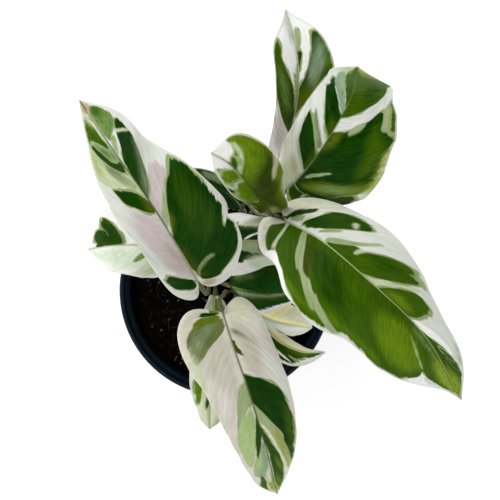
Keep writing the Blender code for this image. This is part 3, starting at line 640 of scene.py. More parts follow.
def half_blade(leaf, midrib, side, u, t):
    """Points of one side: u runs from base to tip vein, t along the vein; and the way across."""
    half_width = half_widths(leaf, side, u)
    back = leaf.lobes[1 if side == RIGHT else 0] * np.sin(np.pi * np.clip(u / LOBE_SPAN, 0, 1))
    at_margin = midrib.length * u ** MARGIN_SWEEP - back
    at_midrib = midrib.length * u ** MIDRIB_SWEEP
    x = at_midrib + (at_margin - at_midrib) * ((1 - VEIN_BOW) * t + VEIN_BOW * t * t)
    point, _, rightward, upward = midrib.frame(x)
    along = np.clip(x / midrib.length, 0, 1)
    roll, fold, curl = (a + (b - a) * along for a, b in (leaf.roll, leaf.fold, leaf.curl))
    start = np.radians(fold - side * roll)
    bend = np.radians(-curl)
    across = half_width / bend * (np.sin(start + bend * t) - np.sin(start))
    rise = -half_width / bend * (np.cos(start + bend * t) - np.cos(start))
    height, count, phase = leaf.wave
    turn = count * along + phase + (0.25 if side == RIGHT else 0)
    rise = rise + height * t * t * np.sin(2 * np.pi * turn) * np.sqrt(np.sin(np.pi * along))
    return point + side * rightward * across[..., None] + upward * rise[..., None], across


def both_sides(left, right):
    """One grid from left margin to right margin, from two that start at the midrib."""
    return np.concatenate([left[:, :0:-1], right], axis=1)


def grid_normals(grid, middle):
    """Upward unit normals of a grid of points; the two end rows, shrunk to points, copy rows."""
    normals = np.cross(np.gradient(grid, axis=1), np.gradient(grid, axis=0))
    normals[0] = normals[1, middle]
    normals[-1] = normals[-2, middle]
    return normals / np.maximum(np.linalg.norm(normals, axis=-1, keepdims=True), 1e-9)


def rounded_outline(corners):
    """A closed outline with its corners cut; it runs past the midrib and the margin it touches."""
    line = np.array([(u, PAST_MIDRIB if t < 0.015 else PAST_MARGIN if t > 0.985 else t)
                     for u, t in corners])
    for _ in range(CORNER_CUTS):
        ahead = np.roll(line, -1, axis=0)
        line = np.stack([0.75 * line + 0.25 * ahead, 0.25 * line + 0.75 * ahead], 1).reshape(-1, 2)
    return line


def depth_inside(outline, points):
    """Signed distance of points to a closed outline, positive inside."""
    start = outline[None]
    edge = (np.roll(outline, -1, axis=0) - outline)[None]
    offset = points[:, None] - start
    share = np.clip((offset * edge).sum(-1) / np.maximum((edge ** 2).sum(-1), 1e-9), 0, 1)
    nearest = np.linalg.norm(offset - share[..., None] * edge, axis=-1).min(1)
    end = start + edge
    straddles = (start[..., 1] > points[:, None, 1]) != (end[..., 1] > points[:, None, 1])
    with np.errstate(divide="ignore", invalid="ignore"):
        crossing = (start[..., 0]
                    + (points[:, None, 1] - start[..., 1]) / edge[..., 1] * edge[..., 0])
    inside = (straddles & (points[:, None, 0] < crossing)).sum(1) % 2 == 1
    return np.where(inside, nearest, -nearest)


def layers_of(leaf):
    """The colours and outlines of the patches, neighbours of the same colour put together."""
    layers = []
    for word in leaf.patches.split():
        if word in SIDES:
            side = SIDES[word]
        elif "," not in word:
            if not layers or layers[-1][0] != word:
                layers.append((word, []))
            layers[-1][1].append((side, []))
        else:
            u, t = word.split(",")
            layers[-1][1][-1][1].append((int(u) / 1000, int(t) / 100))
    return layers


def patch_field(shapes, side, u, t, length, width):
    """Depth inside a layer's patches, and how much the streaks may shift its edge, in mm."""
    places = np.stack([u.ravel() * length, t.ravel() * width], -1)
    depth = np.full(len(places), FAR_OUTSIDE)
    for owner, corners in shapes:
        if owner == side:
            outline = rounded_outline(corners) * (length, width)
            depth = np.maximum(depth, depth_inside(outline, places))
    depth = depth.reshape(u.shape)
    along, across = np.gradient(depth)
    along = along / np.maximum(np.gradient(u, axis=0) * length, 1e-6)
    across = across / np.maximum(np.gradient(t, axis=1) * width, 1e-6)
    steep = np.abs(across) / np.maximum(np.hypot(along, across), 1e-6)
    least, more = EDGE_WANDER
    return np.stack([depth, least + more * np.clip(steep, 0, 1) ** 2, np.zeros_like(depth)], -1)


# Meshes

def add_object(name, data):
    """A new object in the scene, at the origin."""
    thing = bpy.data.objects.new(name, data)
    bpy.context.scene.collection.objects.link(thing)
    return thing


def add_mesh(name, points, faces, finishes):
    """A smooth-shaded mesh object in metres from points in millimetres."""
    mesh = bpy.data.meshes.new(name)
    mesh.from_pydata((np.asarray(points) * MM).tolist(), [], faces)
    for finish in finishes:
        mesh.materials.append(finish)
    mesh.polygons.foreach_set("use_smooth", [True] * len(mesh.polygons))
    return add_object(name, mesh)


def settle(thing):
    """Make the modifier's result the object's own mesh."""
    depsgraph = bpy.context.evaluated_depsgraph_get()
    made = bpy.data.meshes.new_from_object(
        thing.evaluated_get(depsgraph), preserve_all_data_layers=True, depsgraph=depsgraph)
    thing.modifiers.clear()
    thing.data = made


def finish_piece(thing, slot, *nodes):
    """Hang the piece on the plant's body in place of its solids."""
    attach(thing, "root")
    if nodes:
        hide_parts(*nodes)


def blade_grids(leaf, layers, rows, columns):
    """Grids over the whole face: points, distance from the midrib and from the margin, place in
    the vein fan, and the field of each layer of patches."""
    midrib = Midrib(leaf.midrib)
    u, t = np.meshgrid(np.linspace(0, 1, rows + 1),
                       np.linspace(0, 1, columns + 1) ** COLUMN_CROWDING, indexing="ij")
    halves = []
    for side in (LEFT, RIGHT):
        surface, across = half_blade(leaf, midrib, side, u, t)
        margin = (1 - t) * half_widths(leaf, side, u) * VEIN_SLANT
        reach = max(leaf.right if side == RIGHT else leaf.left)
        fields = [patch_field(shapes, side, u, t, midrib.length, reach) for _, shapes in layers]
        halves.append([surface, across, margin, np.stack([u, side * t], -1), *fields])
    points, rib, edge, vein, *fields = (both_sides(*pair) for pair in zip(*halves))
    return points, rib, edge, vein, fields


def face_relief(rib, vein, pleats):
    """How far pleats, margin ripples and the midrib's groove move the face along its normal."""
    share = vein[..., 0]
    way = np.abs(vein[..., 1])
    taper = np.sin(np.pi * share)
    calm = np.sin(np.pi * np.clip(way, 0, 1)) ** 0.7 * taper ** 0.5
    wander = 0.35 * np.sin(5.1 * vein[..., 1] + 9.0 * share)
    relief = pleats * calm * np.cos(2 * np.pi * (PLEAT_COUNT * share + wander))
    ripple = np.sin(2 * np.pi * RIPPLE_COUNT * share + 3 * vein[..., 1])
    relief += RIPPLE_HEIGHT * way ** 4 * taper * ripple
    relief -= GROOVE_DEPTH * np.exp(-(rib / GROOVE_HALF_WIDTH) ** 2) * taper ** 0.3
    return relief


def shell_faces(shape):
    """Faces of a closed shell over two grids of that shape whose end rows are single points, and
    for each its kind: 1 on the back, 0 elsewhere."""
    count = shape[0] * shape[1]
    number = np.arange(count).reshape(shape)
    number[0] = number[0, 0]
    number[-1] = number[-1, 0]
    quads = np.stack([number[:-1, 1:], number[1:, 1:], number[1:, :-1], number[:-1, :-1]],
                     -1).reshape(-1, 4)
    left, right = number[:, 0], number[:, -1]
    rims = []
    for row in range(shape[0] - 1):
        for near, far in ((right[row], right[row + 1]), (left[row + 1], left[row])):
            rims.append((near, near + count, far + count, far))
    faces, kinds = [], []
    for group, kind in ((quads, 0), (quads[:, ::-1] + count, 1), (rims, 0)):
        for face in group:
            corners = list(dict.fromkeys(int(k) for k in face))
            if len(corners) > 2:
                faces.append(corners)
                kinds.append(kind)
    return faces, kinds


def green_depth(leaf, layers, fields, shape):
    """How deep each place lies inside the green of the face, as far as the back shows it."""
    green = np.full(shape, 6.0 if leaf.ground in GREENS else -6.0)
    for (colour, _), field in zip(layers, fields):
        if colour.removeprefix("soft-") in GREENS:
            green = np.maximum(green, field[..., 0])
        else:
            green = np.minimum(green, -field[..., 0])
    return green


def blade_mesh(leaf, layers, rows, columns, thickness, ridge, pleats, finishes):
    """The closed blade with its pleats, groove and ridge, and the fields its finish reads."""
    upper, rib, edge, vein, fields = blade_grids(leaf, layers, rows, columns)
    share = vein[..., 0]
    normals = grid_normals(upper, columns)
    upper = upper + normals * face_relief(rib, vein, pleats)[..., None]
    depth = thickness * ((1 - MARGIN_THINNING)
                         + MARGIN_THINNING * np.clip(edge / MARGIN_BAND, 0, 1))
    depth += ridge * (1 - RIDGE_FADE * share) * np.exp(-(rib / RIDGE_HALF_WIDTH) ** 2)
    lower = upper - normals * depth[..., None]
    for grid in (upper, lower):
        grid[0] = grid[0, columns]
        grid[-1] = grid[-1, columns]
    faces, kinds = shell_faces(share.shape)
    points = np.concatenate([upper.reshape(-1, 3), lower.reshape(-1, 3)])
    used = np.zeros(len(points), bool)
    used[[k for face in faces for k in face]] = True
    renumber = np.cumsum(used) - 1
    faces = [[int(renumber[k]) for k in face] for face in faces]
    thing = add_mesh("leaf_" + leaf.name, points[used], faces, finishes)
    mesh = thing.data
    mesh.polygons.foreach_set("material_index", kinds)
    mesh.set_sharp_from_angle(angle=BLADE_CREASE)

    def on_both_faces(values):
        return np.concatenate([values.reshape(share.size, -1)] * 2)[used]

    green = green_depth(leaf, layers, fields, share.shape)
    for name, values in (("rib", rib), ("edge", edge), ("share", share), ("green", green)):
        store = mesh.attributes.new(name, "FLOAT", "POINT")
        store.data.foreach_set("value", on_both_faces(values).ravel())
    for index, field in enumerate(fields):
        store = mesh.attributes.new(f"patch_{index}", "FLOAT_VECTOR", "POINT")
        store.data.foreach_set("vector", on_both_faces(field).ravel())
    corner_vertex = np.zeros(len(mesh.loops), int)
    mesh.loops.foreach_get("vertex_index", corner_vertex)
    flat = on_both_faces(vein)[corner_vertex]
    mesh.uv_layers.new(name="veins").data.foreach_set("uv", flat.ravel())
    return thing


# Node trees

class Nodes:
    """A node tree in the making."""

    def __init__(self, tree):
        self.tree = tree

    def plug(self, socket, value):
        """Link an output to a socket, or set its number."""
        if isinstance(value, bpy.types.NodeSocket):
            self.tree.links.new(value, socket)
        elif isinstance(value, tuple) and len(value) == 3 and socket.type == "RGBA":
            socket.default_value = (*value, 1.0)
        else:
            socket.default_value = value

    def node(self, kind, settings=(), inputs=()):
        """A node with its settings and inputs."""
        made = self.tree.nodes.new(kind)
        for name, value in dict(settings).items():
            setattr(made, name, value)
        for name, value in dict(inputs).items():
            self.plug(made.inputs[name], value)
        return made


class Shading(Nodes):
    """A material in the making, with short names for the nodes used most."""

    def __init__(self, name, preview):
        self.material = bpy.data.materials.new(name)
        self.material.use_nodes = True
        self.material.diffuse_color = (*preview, 1.0)
        super().__init__(self.material.node_tree)
        self.shader = self.tree.nodes["Principled BSDF"]

    def maths(self, operation, a, b=0.0, c=0.0):
        """The result of a Math node."""
        return self.node("ShaderNodeMath", {"operation": operation},
                         {0: a, 1: b, 2: c}).outputs[0]

    def smooth(self, value, low, high, to_low=0.0, to_high=1.0):
        """A smooth step from low to high."""
        made = self.node("ShaderNodeMapRange", {"interpolation_type": "SMOOTHSTEP"},
                         {"Value": value, "From Min": low, "From Max": high,
                          "To Min": to_low, "To Max": to_high})
        return made.outputs["Result"]

    def mix(self, share, a, b, blend="MIX"):
        """Two colours mixed."""
        made = self.node("ShaderNodeMix", {"data_type": "RGBA", "blend_type": blend})
        self.plug(made.inputs["Factor"], share)
        self.plug(made.inputs[6], a)
        self.plug(made.inputs[7], b)
        return made.outputs[2]

    def noise(self, vector, scale=1.0, detail=2.0, roughness=0.5):
        """A noise value around one half."""
        return self.node("ShaderNodeTexNoise", (),
                         {"Vector": vector, "Scale": scale, "Detail": detail,
                          "Roughness": roughness}).outputs["Fac"]

    def placed(self, vector, scale, shift=(0.0, 0.0, 0.0)):
        """Coordinates stretched and shifted."""
        return self.node("ShaderNodeMapping", (),
                         {"Vector": vector, "Scale": scale, "Location": shift}).outputs[0]

    def wash(self, colour, over, share, strength):
        """A colour with another laid over it where the share says, as strongly as told."""
        return self.mix(self.maths("MULTIPLY", share, strength), colour, over)

    def field(self, name, output="Fac"):
        """An attribute of the mesh."""
        return self.node("ShaderNodeAttribute", {"attribute_name": name}).outputs[output]

    def spot(self):
        """Object coordinates."""
        return self.node("ShaderNodeTexCoord").outputs["Object"]

    def veins(self):
        """Places in a blade's vein fan, and a wave that peaks on each fine side vein."""
        fan = self.node("ShaderNodeUVMap", {"uv_map": "veins"}).outputs[0]
        along = self.node("ShaderNodeSeparateXYZ", (), {0: fan}).outputs[0]
        turn = self.maths("MULTIPLY", along, 2 * math.pi * VEIN_LINES)
        return fan, self.maths("SINE", turn)

    def bump(self, height, strength, distance):
        """Raise the surface by a height."""
        made = self.node("ShaderNodeBump", (),
                         {"Height": height, "Strength": strength, "Distance": distance})
        self.plug(self.shader.inputs["Normal"], made.outputs[0])

    def surface(self, **values):
        """Set the shader's own sockets."""
        for name, value in values.items():
            self.plug(self.shader.inputs[name.replace("_", " ")], value)


def blade_face(leaf, layers, seed, settings):
    """The patterned upper face of a blade."""
    art = Shading("blade face " + leaf.name, tones(leaf.ground)[1])
    veins, turn = art.veins()
    shift = (seed * 7.3, seed * 3.1, 0.0)
    streak = art.noise(art.placed(veins, (44, 2.6, 1), shift), detail=4.0, roughness=0.62)
    streak = art.maths("MULTIPLY_ADD", streak, 4.4, -2.2)
    fine = art.noise(art.placed(veins, (210, 5.5, 1), shift), detail=2.0)
    slow = art.noise(art.placed(veins, (9, 2.5, 1), shift), detail=2.0)
    tone = art.maths("ADD", art.maths("MULTIPLY_ADD", fine, 1.7, -0.35),
                     art.maths("MULTIPLY_ADD", slow, 1.1, -0.55))
    tone = art.smooth(tone, 0.05, 0.95)
    colour = art.mix(tone, *tones(leaf.ground))
    halo = art.mix(fine, *tones("halo"))
    halo_reach = art.smooth(slow, 0.35, 0.65, 0.15, 1.3)
    for index, (name, _) in enumerate(layers):
        _, _, softness, has_halo = PALETTE[name.removeprefix("soft-")]
        if name.startswith("soft-"):
            softness, has_halo = SOFT_EDGE, False
        parts = art.node("ShaderNodeSeparateXYZ", (),
                         {0: art.field(f"patch_{index}", "Vector")}).outputs
        depth = art.maths("MULTIPLY_ADD", parts[1], streak, parts[0])
        if has_halo:
            share = art.smooth(art.maths("ADD", depth, halo_reach), -0.3, 0.3)
            colour = art.mix(share, colour, halo)
        share = art.smooth(depth, -softness, softness)
        colour = art.mix(share, colour, art.mix(tone, *tones(name)))
    rib = art.field("rib")
    share = art.field("share")
    edge = art.field("edge")
    vein_line = art.smooth(turn, 0.80, 1.0)
    colour = art.wash(colour, FINE_VEIN, vein_line, 0.02)
    margin = art.smooth(art.maths("MULTIPLY_ADD", streak, 0.12, edge), 0.55, 0.25)
    colour = art.wash(colour, tuple(settings.margin_colour), margin, 0.65)
    rib_half = art.maths("MULTIPLY_ADD", share, -0.20, 0.30)
    beside = art.smooth(art.maths("SUBTRACT", rib, rib_half), 0.8, 0.1)
    colour = art.wash(colour, MIDRIB_SHADE, beside, 0.35)
    line = art.smooth(art.maths("SUBTRACT", rib, rib_half), 0.15, -0.1)
    if leaf.vein:
        near, far = (art.mix(fine, *tones(name)) for name in leaf.vein)
        rib_colour = art.mix(art.smooth(share, 0.45, 0.75), near, far)
        colour = art.wash(colour, rib_colour, line, settings.midrib_strength)
    art.surface(Base_Color=colour, Roughness=art.maths("MULTIPLY_ADD", tone, 0.08, 0.30),
                Specular_IOR_Level=0.03)
    cells = art.noise(art.spot(), scale=2600.0, detail=1.0)
    height = art.maths("ADD", art.maths("MULTIPLY", fine, 0.8), art.maths("MULTIPLY", cells, 0.25))
    art.bump(art.maths("MULTIPLY_ADD", turn, 0.12, height), 0.32, 0.0004)
    return art.material


def blade_back(leaf, seed):
    """The paler, mauve underside of a blade."""
    art = Shading("blade back " + leaf.name, (0.4, 0.3, 0.32))
    veins, turn = art.veins()
    shift = (seed * 5.3, seed * 2.1, 0.0)
    streak = art.noise(art.placed(veins, (64, 3.2, 1), shift), detail=3.0)
    fine = art.noise(art.placed(veins, (190, 5, 1), shift), detail=2.0)
    depth = art.maths("ADD", art.field("green"),
                      art.maths("MULTIPLY_ADD", streak, 5.0, -2.5))
    pale = art.mix(fine, *BACK_PALE)
    deep = art.mix(fine, *BACK_DEEP)
    colour = art.mix(art.smooth(depth, -0.8, 0.8), pale, deep)
    colour = art.wash(colour, BACK_VEIN, art.smooth(turn, 0.7, 1.0), 0.35)
    rib = art.smooth(art.field("rib"), 1.6, 0.7)
    colour = art.wash(colour, BACK_RIB, rib, 0.8)
    art.surface(Base_Color=colour, Roughness=0.55, Specular_IOR_Level=0.25)
    art.bump(art.maths("MULTIPLY_ADD", turn, 0.25, fine), 0.35, 0.0003)
    return art.material


def stalk_finish(settings):
    """Brownish pink at the foot, green above, with fine ribs along the stalk."""
    art = Shading("stalk", tuple(settings.foot_colour))
    share = art.field("share")
    spot = art.spot()
    ribs = art.noise(art.placed(spot, (1700, 1700, 110)), detail=2.0)
    slow = art.noise(art.placed(spot, (160, 160, 60)), detail=2.0)
    level = art.maths("ADD", share, art.maths("MULTIPLY_ADD", slow, 0.5, -0.25))
    colour = art.mix(art.smooth(level, 0.05, 0.6), tuple(settings.foot_colour),
                     tuple(settings.upper_colour))
    colour = art.mix(art.smooth(share, 0.80, 0.86), colour, STALK_CUSHION)
    colour = art.mix(art.smooth(ribs, 0.35, 0.7), colour, STALK_RIBS, "SOFT_LIGHT")
    art.surface(Base_Color=colour, Roughness=art.maths("MULTIPLY_ADD", ribs, 0.25, 0.35),
                Specular_IOR_Level=0.35)
    art.bump(ribs, 0.35, 0.0003)
    return art.material


def plastic_finish(settings):
    """Satin nursery-pot plastic with a moulded grain, scuffs and a little dust."""
    art = Shading("pot plastic", tuple(settings.colour))
    spot = art.spot()
    grain = art.noise(spot, scale=2400.0, detail=2.0)
    cloud = art.noise(spot, scale=55.0, detail=4.0, roughness=0.6)
    scratch = art.noise(art.placed(spot, (120, 120, 1500)), detail=3.0, roughness=0.7)
    worn = art.smooth(art.maths("MULTIPLY", scratch, cloud), 0.30, 0.42)
    dust = art.smooth(cloud, 0.55, 0.80)
    colour = art.wash(tuple(settings.colour), POT_DUST, dust, 0.10)
    colour = art.wash(colour, POT_SCUFF, worn, 0.30)
    rough = art.maths("MULTIPLY_ADD", cloud, 0.25, 0.26)
    art.surface(Base_Color=colour, Roughness=art.maths("MULTIPLY_ADD", worn, 0.15, rough),
                Specular_IOR_Level=0.16)
    art.bump(art.maths("MULTIPLY_ADD", scratch, 0.35, grain), 0.22, 0.0002)
    return art.material


def earth_finish(name, low, high, scale, roughness=0.95):
    """Crumbly matter in two tones."""
    art = Shading(name, high)
    spot = art.spot()
    lumps = art.noise(spot, scale=scale, detail=5.0, roughness=0.7)
    specks = art.noise(spot, scale=scale * 6, detail=3.0, roughness=0.8)
    colour = art.mix(art.smooth(lumps, 0.35, 0.68), low, high)
    bright = tuple(min(1.0, 2.4 * part + 0.01) for part in high)
    colour = art.mix(art.smooth(specks, 0.64, 0.74), colour, bright)
    art.surface(Base_Color=colour, Roughness=roughness, Specular_IOR_Level=0.06)
    art.bump(art.maths("ADD", lumps, specks), 0.9, 0.0012)
    return art.material


# Geometry Nodes

class Recipe(Nodes):
    """A Geometry Nodes tree in the making."""

    def __init__(self, name, **inputs):
        super().__init__(bpy.data.node_groups.new(name, "GeometryNodeTree"))
        face = self.tree.interface
        face.new_socket(name="Geometry", in_out="OUTPUT", socket_type="NodeSocketGeometry")
        face.new_socket(name="Geometry", in_out="INPUT", socket_type="NodeSocketGeometry")
        self.names = {}
        for label, kind in inputs.items():
            socket = face.new_socket(name=label, in_out="INPUT", socket_type=kind)
            self.names[label] = socket.identifier
        self.start = self.tree.nodes.new("NodeGroupInput")
        self.end = self.tree.nodes.new("NodeGroupOutput")

    def given(self, label):
        """One of the tree's own inputs."""
        return self.start.outputs[label]

    def close(self, geometry, material):
        """End in Realize Instances and Set Material."""
        real = self.node("GeometryNodeRealizeInstances", (), {"Geometry": geometry}).outputs[0]
        done = self.node("GeometryNodeSetMaterial", (), {"Geometry": real, "Material": material})
        self.tree.links.new(done.outputs[0], self.end.inputs["Geometry"])

    def grow(self, thing, **values):
        """Run the tree on an object and keep the result."""
        modifier = thing.modifiers.new("recipe", "NODES")
        modifier.node_group = self.tree
        for label, value in values.items():
            modifier[self.names[label]] = value
        settle(thing)


def tube_recipe():
    """A tube along a line, as thick as the line's own thickness says."""
    recipe = Recipe("tube", Sides="NodeSocketInt", Material="NodeSocketMaterial")
    curve = recipe.node("GeometryNodeMeshToCurve", (),
                        {"Mesh": recipe.given("Geometry")}).outputs[0]
    thick = recipe.node("GeometryNodeInputNamedAttribute", {"data_type": "FLOAT"},
                        {"Name": "thickness"}).outputs[0]
    curve = recipe.node("GeometryNodeSetCurveRadius", (),
                        {"Curve": curve, "Radius": thick}).outputs[0]
    radius = recipe.node("GeometryNodeInputRadius").outputs[0]
    ring = recipe.node("GeometryNodeCurvePrimitiveCircle", (),
                       {"Resolution": recipe.given("Sides"), "Radius": 1.0})
    tube = recipe.node("GeometryNodeCurveToMesh", (),
                       {"Curve": curve, "Profile Curve": ring.outputs[0], "Scale": radius,
                        "Fill Caps": True})
    smooth = recipe.node("GeometryNodeSetShadeSmooth", (), {"Geometry": tube.outputs[0]})
    recipe.close(smooth.outputs[0], recipe.given("Material"))
    return recipe


def scatter_recipe():
    """Small pieces strewn over a surface, each turned and stretched by chance."""
    recipe = Recipe("scatter", Density="NodeSocketFloat", Seed="NodeSocketInt",
                    Smallest="NodeSocketVector", Largest="NodeSocketVector",
                    Sink="NodeSocketFloat", Tilt="NodeSocketFloat", Fibre="NodeSocketBool",
                    Material="NodeSocketMaterial")
    seed = recipe.given("Seed")
    spots = recipe.node("GeometryNodeDistributePointsOnFaces", {"distribute_method": "RANDOM"},
                        {"Mesh": recipe.given("Geometry"), "Density": recipe.given("Density"),
                         "Seed": seed})
    grain = recipe.node("GeometryNodeMeshIcoSphere", (), {"Radius": 1.0, "Subdivisions": 1})
    fibre = recipe.node("GeometryNodeMeshCylinder", (),
                        {"Vertices": 5, "Side Segments": 3, "Radius": 1.0, "Depth": 2.0})
    shape = recipe.node("GeometryNodeSwitch", {"input_type": "GEOMETRY"},
                        {"Switch": recipe.given("Fibre"), "False": grain.outputs[0],
                         "True": fibre.outputs[0]})
    size = recipe.node("FunctionNodeRandomValue", {"data_type": "FLOAT_VECTOR"},
                       {0: recipe.given("Smallest"), 1: recipe.given("Largest"), "Seed": seed})
    most = recipe.node("ShaderNodeCombineXYZ", (),
                       {0: recipe.given("Tilt"), 1: recipe.given("Tilt"), 2: 2 * math.pi})
    turn = recipe.node("FunctionNodeRandomValue", {"data_type": "FLOAT_VECTOR"},
                       {0: (0.0, 0.0, 0.0), 1: most.outputs[0], "Seed": seed})
    placed = recipe.node("GeometryNodeInstanceOnPoints", (),
                         {"Points": spots.outputs["Points"], "Instance": shape.outputs[0],
                          "Rotation": turn.outputs[0], "Scale": size.outputs[0]})
    lower = recipe.node("ShaderNodeCombineXYZ", (), {2: recipe.given("Sink")})
    sunk = recipe.node("GeometryNodeTranslateInstances", (),
                       {"Instances": placed.outputs[0], "Translation": lower.outputs[0],
                        "Local Space": False})
    recipe.close(sunk.outputs[0], recipe.given("Material"))
    return recipe


# Settings

class PotSettings(bpy.types.PropertyGroup):
    """Sizes and colour of the pot."""
    height: FloatProperty(name="Height", description="Height of the rim", default=0.100,
                          unit="LENGTH")
    top_radius: FloatProperty(name="Rim radius", description="Outer radius at the rim",
                              default=0.060, unit="LENGTH")
    base_radius: FloatProperty(name="Base radius", description="Outer radius at the floor",
                               default=0.044, unit="LENGTH")
    wall: FloatProperty(name="Wall", description="Thickness of the wall", default=0.0014,
                        unit="LENGTH")
    band_height: FloatProperty(name="Rim band", description="Height of the wider band at the rim",
                               default=0.013, unit="LENGTH")
    colour: FloatVectorProperty(name="Plastic", description="Colour of the plastic",
                                default=(0.0032, 0.0105, 0.0175), subtype="COLOR", min=0, max=1)


class SoilSettings(bpy.types.PropertyGroup):
    """Level and colours of the soil and what lies on it."""
    level: FloatProperty(name="Level", description="Height of the soil's top", default=0.087,
                         unit="LENGTH")
    relief: FloatProperty(name="Lumps", description="Height of the broad lumps", default=0.0016,
                          unit="LENGTH")
    seed: IntProperty(name="Seed", description="Start of the chance in the strewn bits", default=4)
    crumbs: FloatProperty(name="Crumbs", description="Crumbs per square metre", default=230000)
    bark: FloatProperty(name="Bark", description="Bark chips per square metre", default=26000)
    fibres: FloatProperty(name="Fibres", description="Coir fibres per square metre", default=24000)
    grit: FloatProperty(name="Grit", description="Pale grains per square metre", default=6500)
    # Both soil tones are darker than the soil's own colour: they also hold painted shade, the shade
    # inside the pot under the leaves.
    dark: FloatVectorProperty(name="Dark", description="Darkest soil", subtype="COLOR",
                              default=(0.0006, 0.0005, 0.0004), min=0, max=1)
    light: FloatVectorProperty(name="Light", description="Lightest soil", subtype="COLOR",
                               default=(0.0050, 0.0037, 0.0027), min=0, max=1)


class StalkSettings(bpy.types.PropertyGroup):
    """Fineness and colours of the leaf stalks."""
    sides: IntProperty(name="Sides", description="Facets round a stalk", default=16, min=3)
    stations: IntProperty(name="Stations", description="Rings along a stalk", default=70, min=4)
    slimness: FloatProperty(name="Slimness", description="Radius as a share of the solid's radius",
                            default=0.74, min=0.3, max=1, subtype="FACTOR")
    foot_colour: FloatVectorProperty(name="Foot", description="Colour at the soil",
                                     default=(0.17, 0.08, 0.05), subtype="COLOR", min=0, max=1)
    upper_colour: FloatVectorProperty(name="Upper", description="Colour below the blade",
                                      default=(0.060, 0.088, 0.020), subtype="COLOR", min=0, max=1)


class BladeSettings(bpy.types.PropertyGroup):
    """Fineness, relief and line colours of the leaf blades."""
    rows: IntProperty(name="Rows", description="Facets along a large blade", default=220, min=8)
    columns: IntProperty(name="Columns", description="Facets from midrib to margin", default=40,
                         min=4)
    thickness: FloatProperty(name="Thickness", description="Thickness of the blade",
                             default=0.00045, unit="LENGTH", precision=5)
    ridge: FloatProperty(name="Ridge", description="Depth of the midrib below the blade's base",
                         default=0.0013, unit="LENGTH", precision=5)
    pleats: FloatProperty(name="Pleats", description="Height of the folds along the side veins",
                          default=0.00013, unit="LENGTH", precision=5)
    midrib_strength: FloatProperty(name="Midrib", default=0.85, min=0, max=1, subtype="FACTOR",
                                   description="How clearly the midrib's line shows")
    margin_colour: FloatVectorProperty(name="Margin", description="Colour of the outermost edge",
                                       default=(0.66, 0.69, 0.58), subtype="COLOR", min=0, max=1)


class StageSettings(bpy.types.PropertyGroup):
    """Floor, light and camera."""
    floor_size: FloatProperty(name="Floor", description="Side of the floor", default=6.0,
                              unit="LENGTH")
    floor_colour: FloatVectorProperty(name="Floor colour", description="Colour of the floor",
                                      default=(0.93, 0.93, 0.93), subtype="COLOR", min=0, max=1)
    floor_glow: FloatProperty(name="Floor glow", default=0.40,
                              description="Light that the floor adds near the pot")
    horizon_glow: FloatProperty(name="Far glow", description="Light that the floor adds far away",
                                default=0.62)
    horizon: FloatProperty(name="Horizon", description="Strength of the light all round",
                           default=0.95)
    zenith: FloatProperty(name="Zenith", description="Strength of the light straight above",
                          default=0.10)
    key: FloatProperty(name="Key", description="Power of the main lamp", default=9.0, unit="POWER")
    fill: FloatProperty(name="Fill", description="Power of each weaker lamp", default=4.0,
                        unit="POWER")
    eye: FloatVectorProperty(name="Eye", description="Where the camera stands, looking down",
                             default=(0.0137, 0.0227, 0.660), subtype="TRANSLATION", unit="LENGTH")
    lens: FloatProperty(name="Lens", description="Focal length", default=71.9, unit="CAMERA")


class PlantSettings(bpy.types.PropertyGroup):
    """All settings of the plant."""
    pot: PointerProperty(type=PotSettings)
    soil: PointerProperty(type=SoilSettings)
    stalks: PointerProperty(type=StalkSettings)
    blades: PointerProperty(type=BladeSettings)
    stage: PointerProperty(type=StageSettings)


# Pot and soil forms

def circle(radius, sides, centre=(0.0, 0.0), turn=0.0):
    """Points of a circle in the XY plane, anticlockwise."""
    angles = turn + 2 * np.pi * np.arange(sides) / sides
    return np.stack([centre[0] + radius * np.cos(angles), centre[1] + radius * np.sin(angles)], -1)


def sheet(outline, holes):
    """Triangles, facing up, of the region inside the outline and outside the holes."""
    loops = [outline, *holes]
    flat = np.concatenate(loops)
    edges = []
    loop_of = np.full(len(flat), -1)
    start = 0
    for number, loop in enumerate(loops):
        edges += [(start + k, start + (k + 1) % len(loop)) for k in range(len(loop))]
        loop_of[start:start + len(loop)] = number
        start += len(loop)
    _, _, faces, _, _, _ = delaunay_2d_cdt([Vector(p) for p in flat], edges, [], 0, 1e-6)
    kept = []
    for face in faces:
        owners = {int(loop_of[k]) for k in face}
        fills_a_hole = len(owners) == 1 and min(owners) > 0
        if not fills_a_hole:
            kept.append(list(face))
    return flat, kept


def band(lower, upper):
    """Quads between two loops of the same count; they face out where the loops go round +Z."""
    return [[lower[k], lower[(k + 1) % len(lower)], upper[(k + 1) % len(lower)], upper[k]]
            for k in range(len(lower))]


def eased(profile, cut):
    """A profile of (radius, height) with each corner rounded over the cut length."""
    profile = [np.array(p, float) for p in profile]
    line = [profile[0]]
    for before, corner, after in zip(profile, profile[1:], profile[2:]):
        back = before - corner
        ahead = after - corner
        start = corner + back * min(0.45, cut / np.linalg.norm(back))
        end = corner + ahead * min(0.45, cut / np.linalg.norm(ahead))
        for s in (0.0, 0.2, 0.4, 0.6, 0.8, 1.0):
            line.append((1 - s) ** 2 * start + 2 * s * (1 - s) * corner + s * s * end)
    return line + [profile[-1]]


def wall_top(pot):
    """Radius and height of the pot's outer wall just under the rim band."""
    return (pot.top_radius / MM - BAND_INSET - BAND_STEP,
            pot.height / MM - pot.band_height / MM)


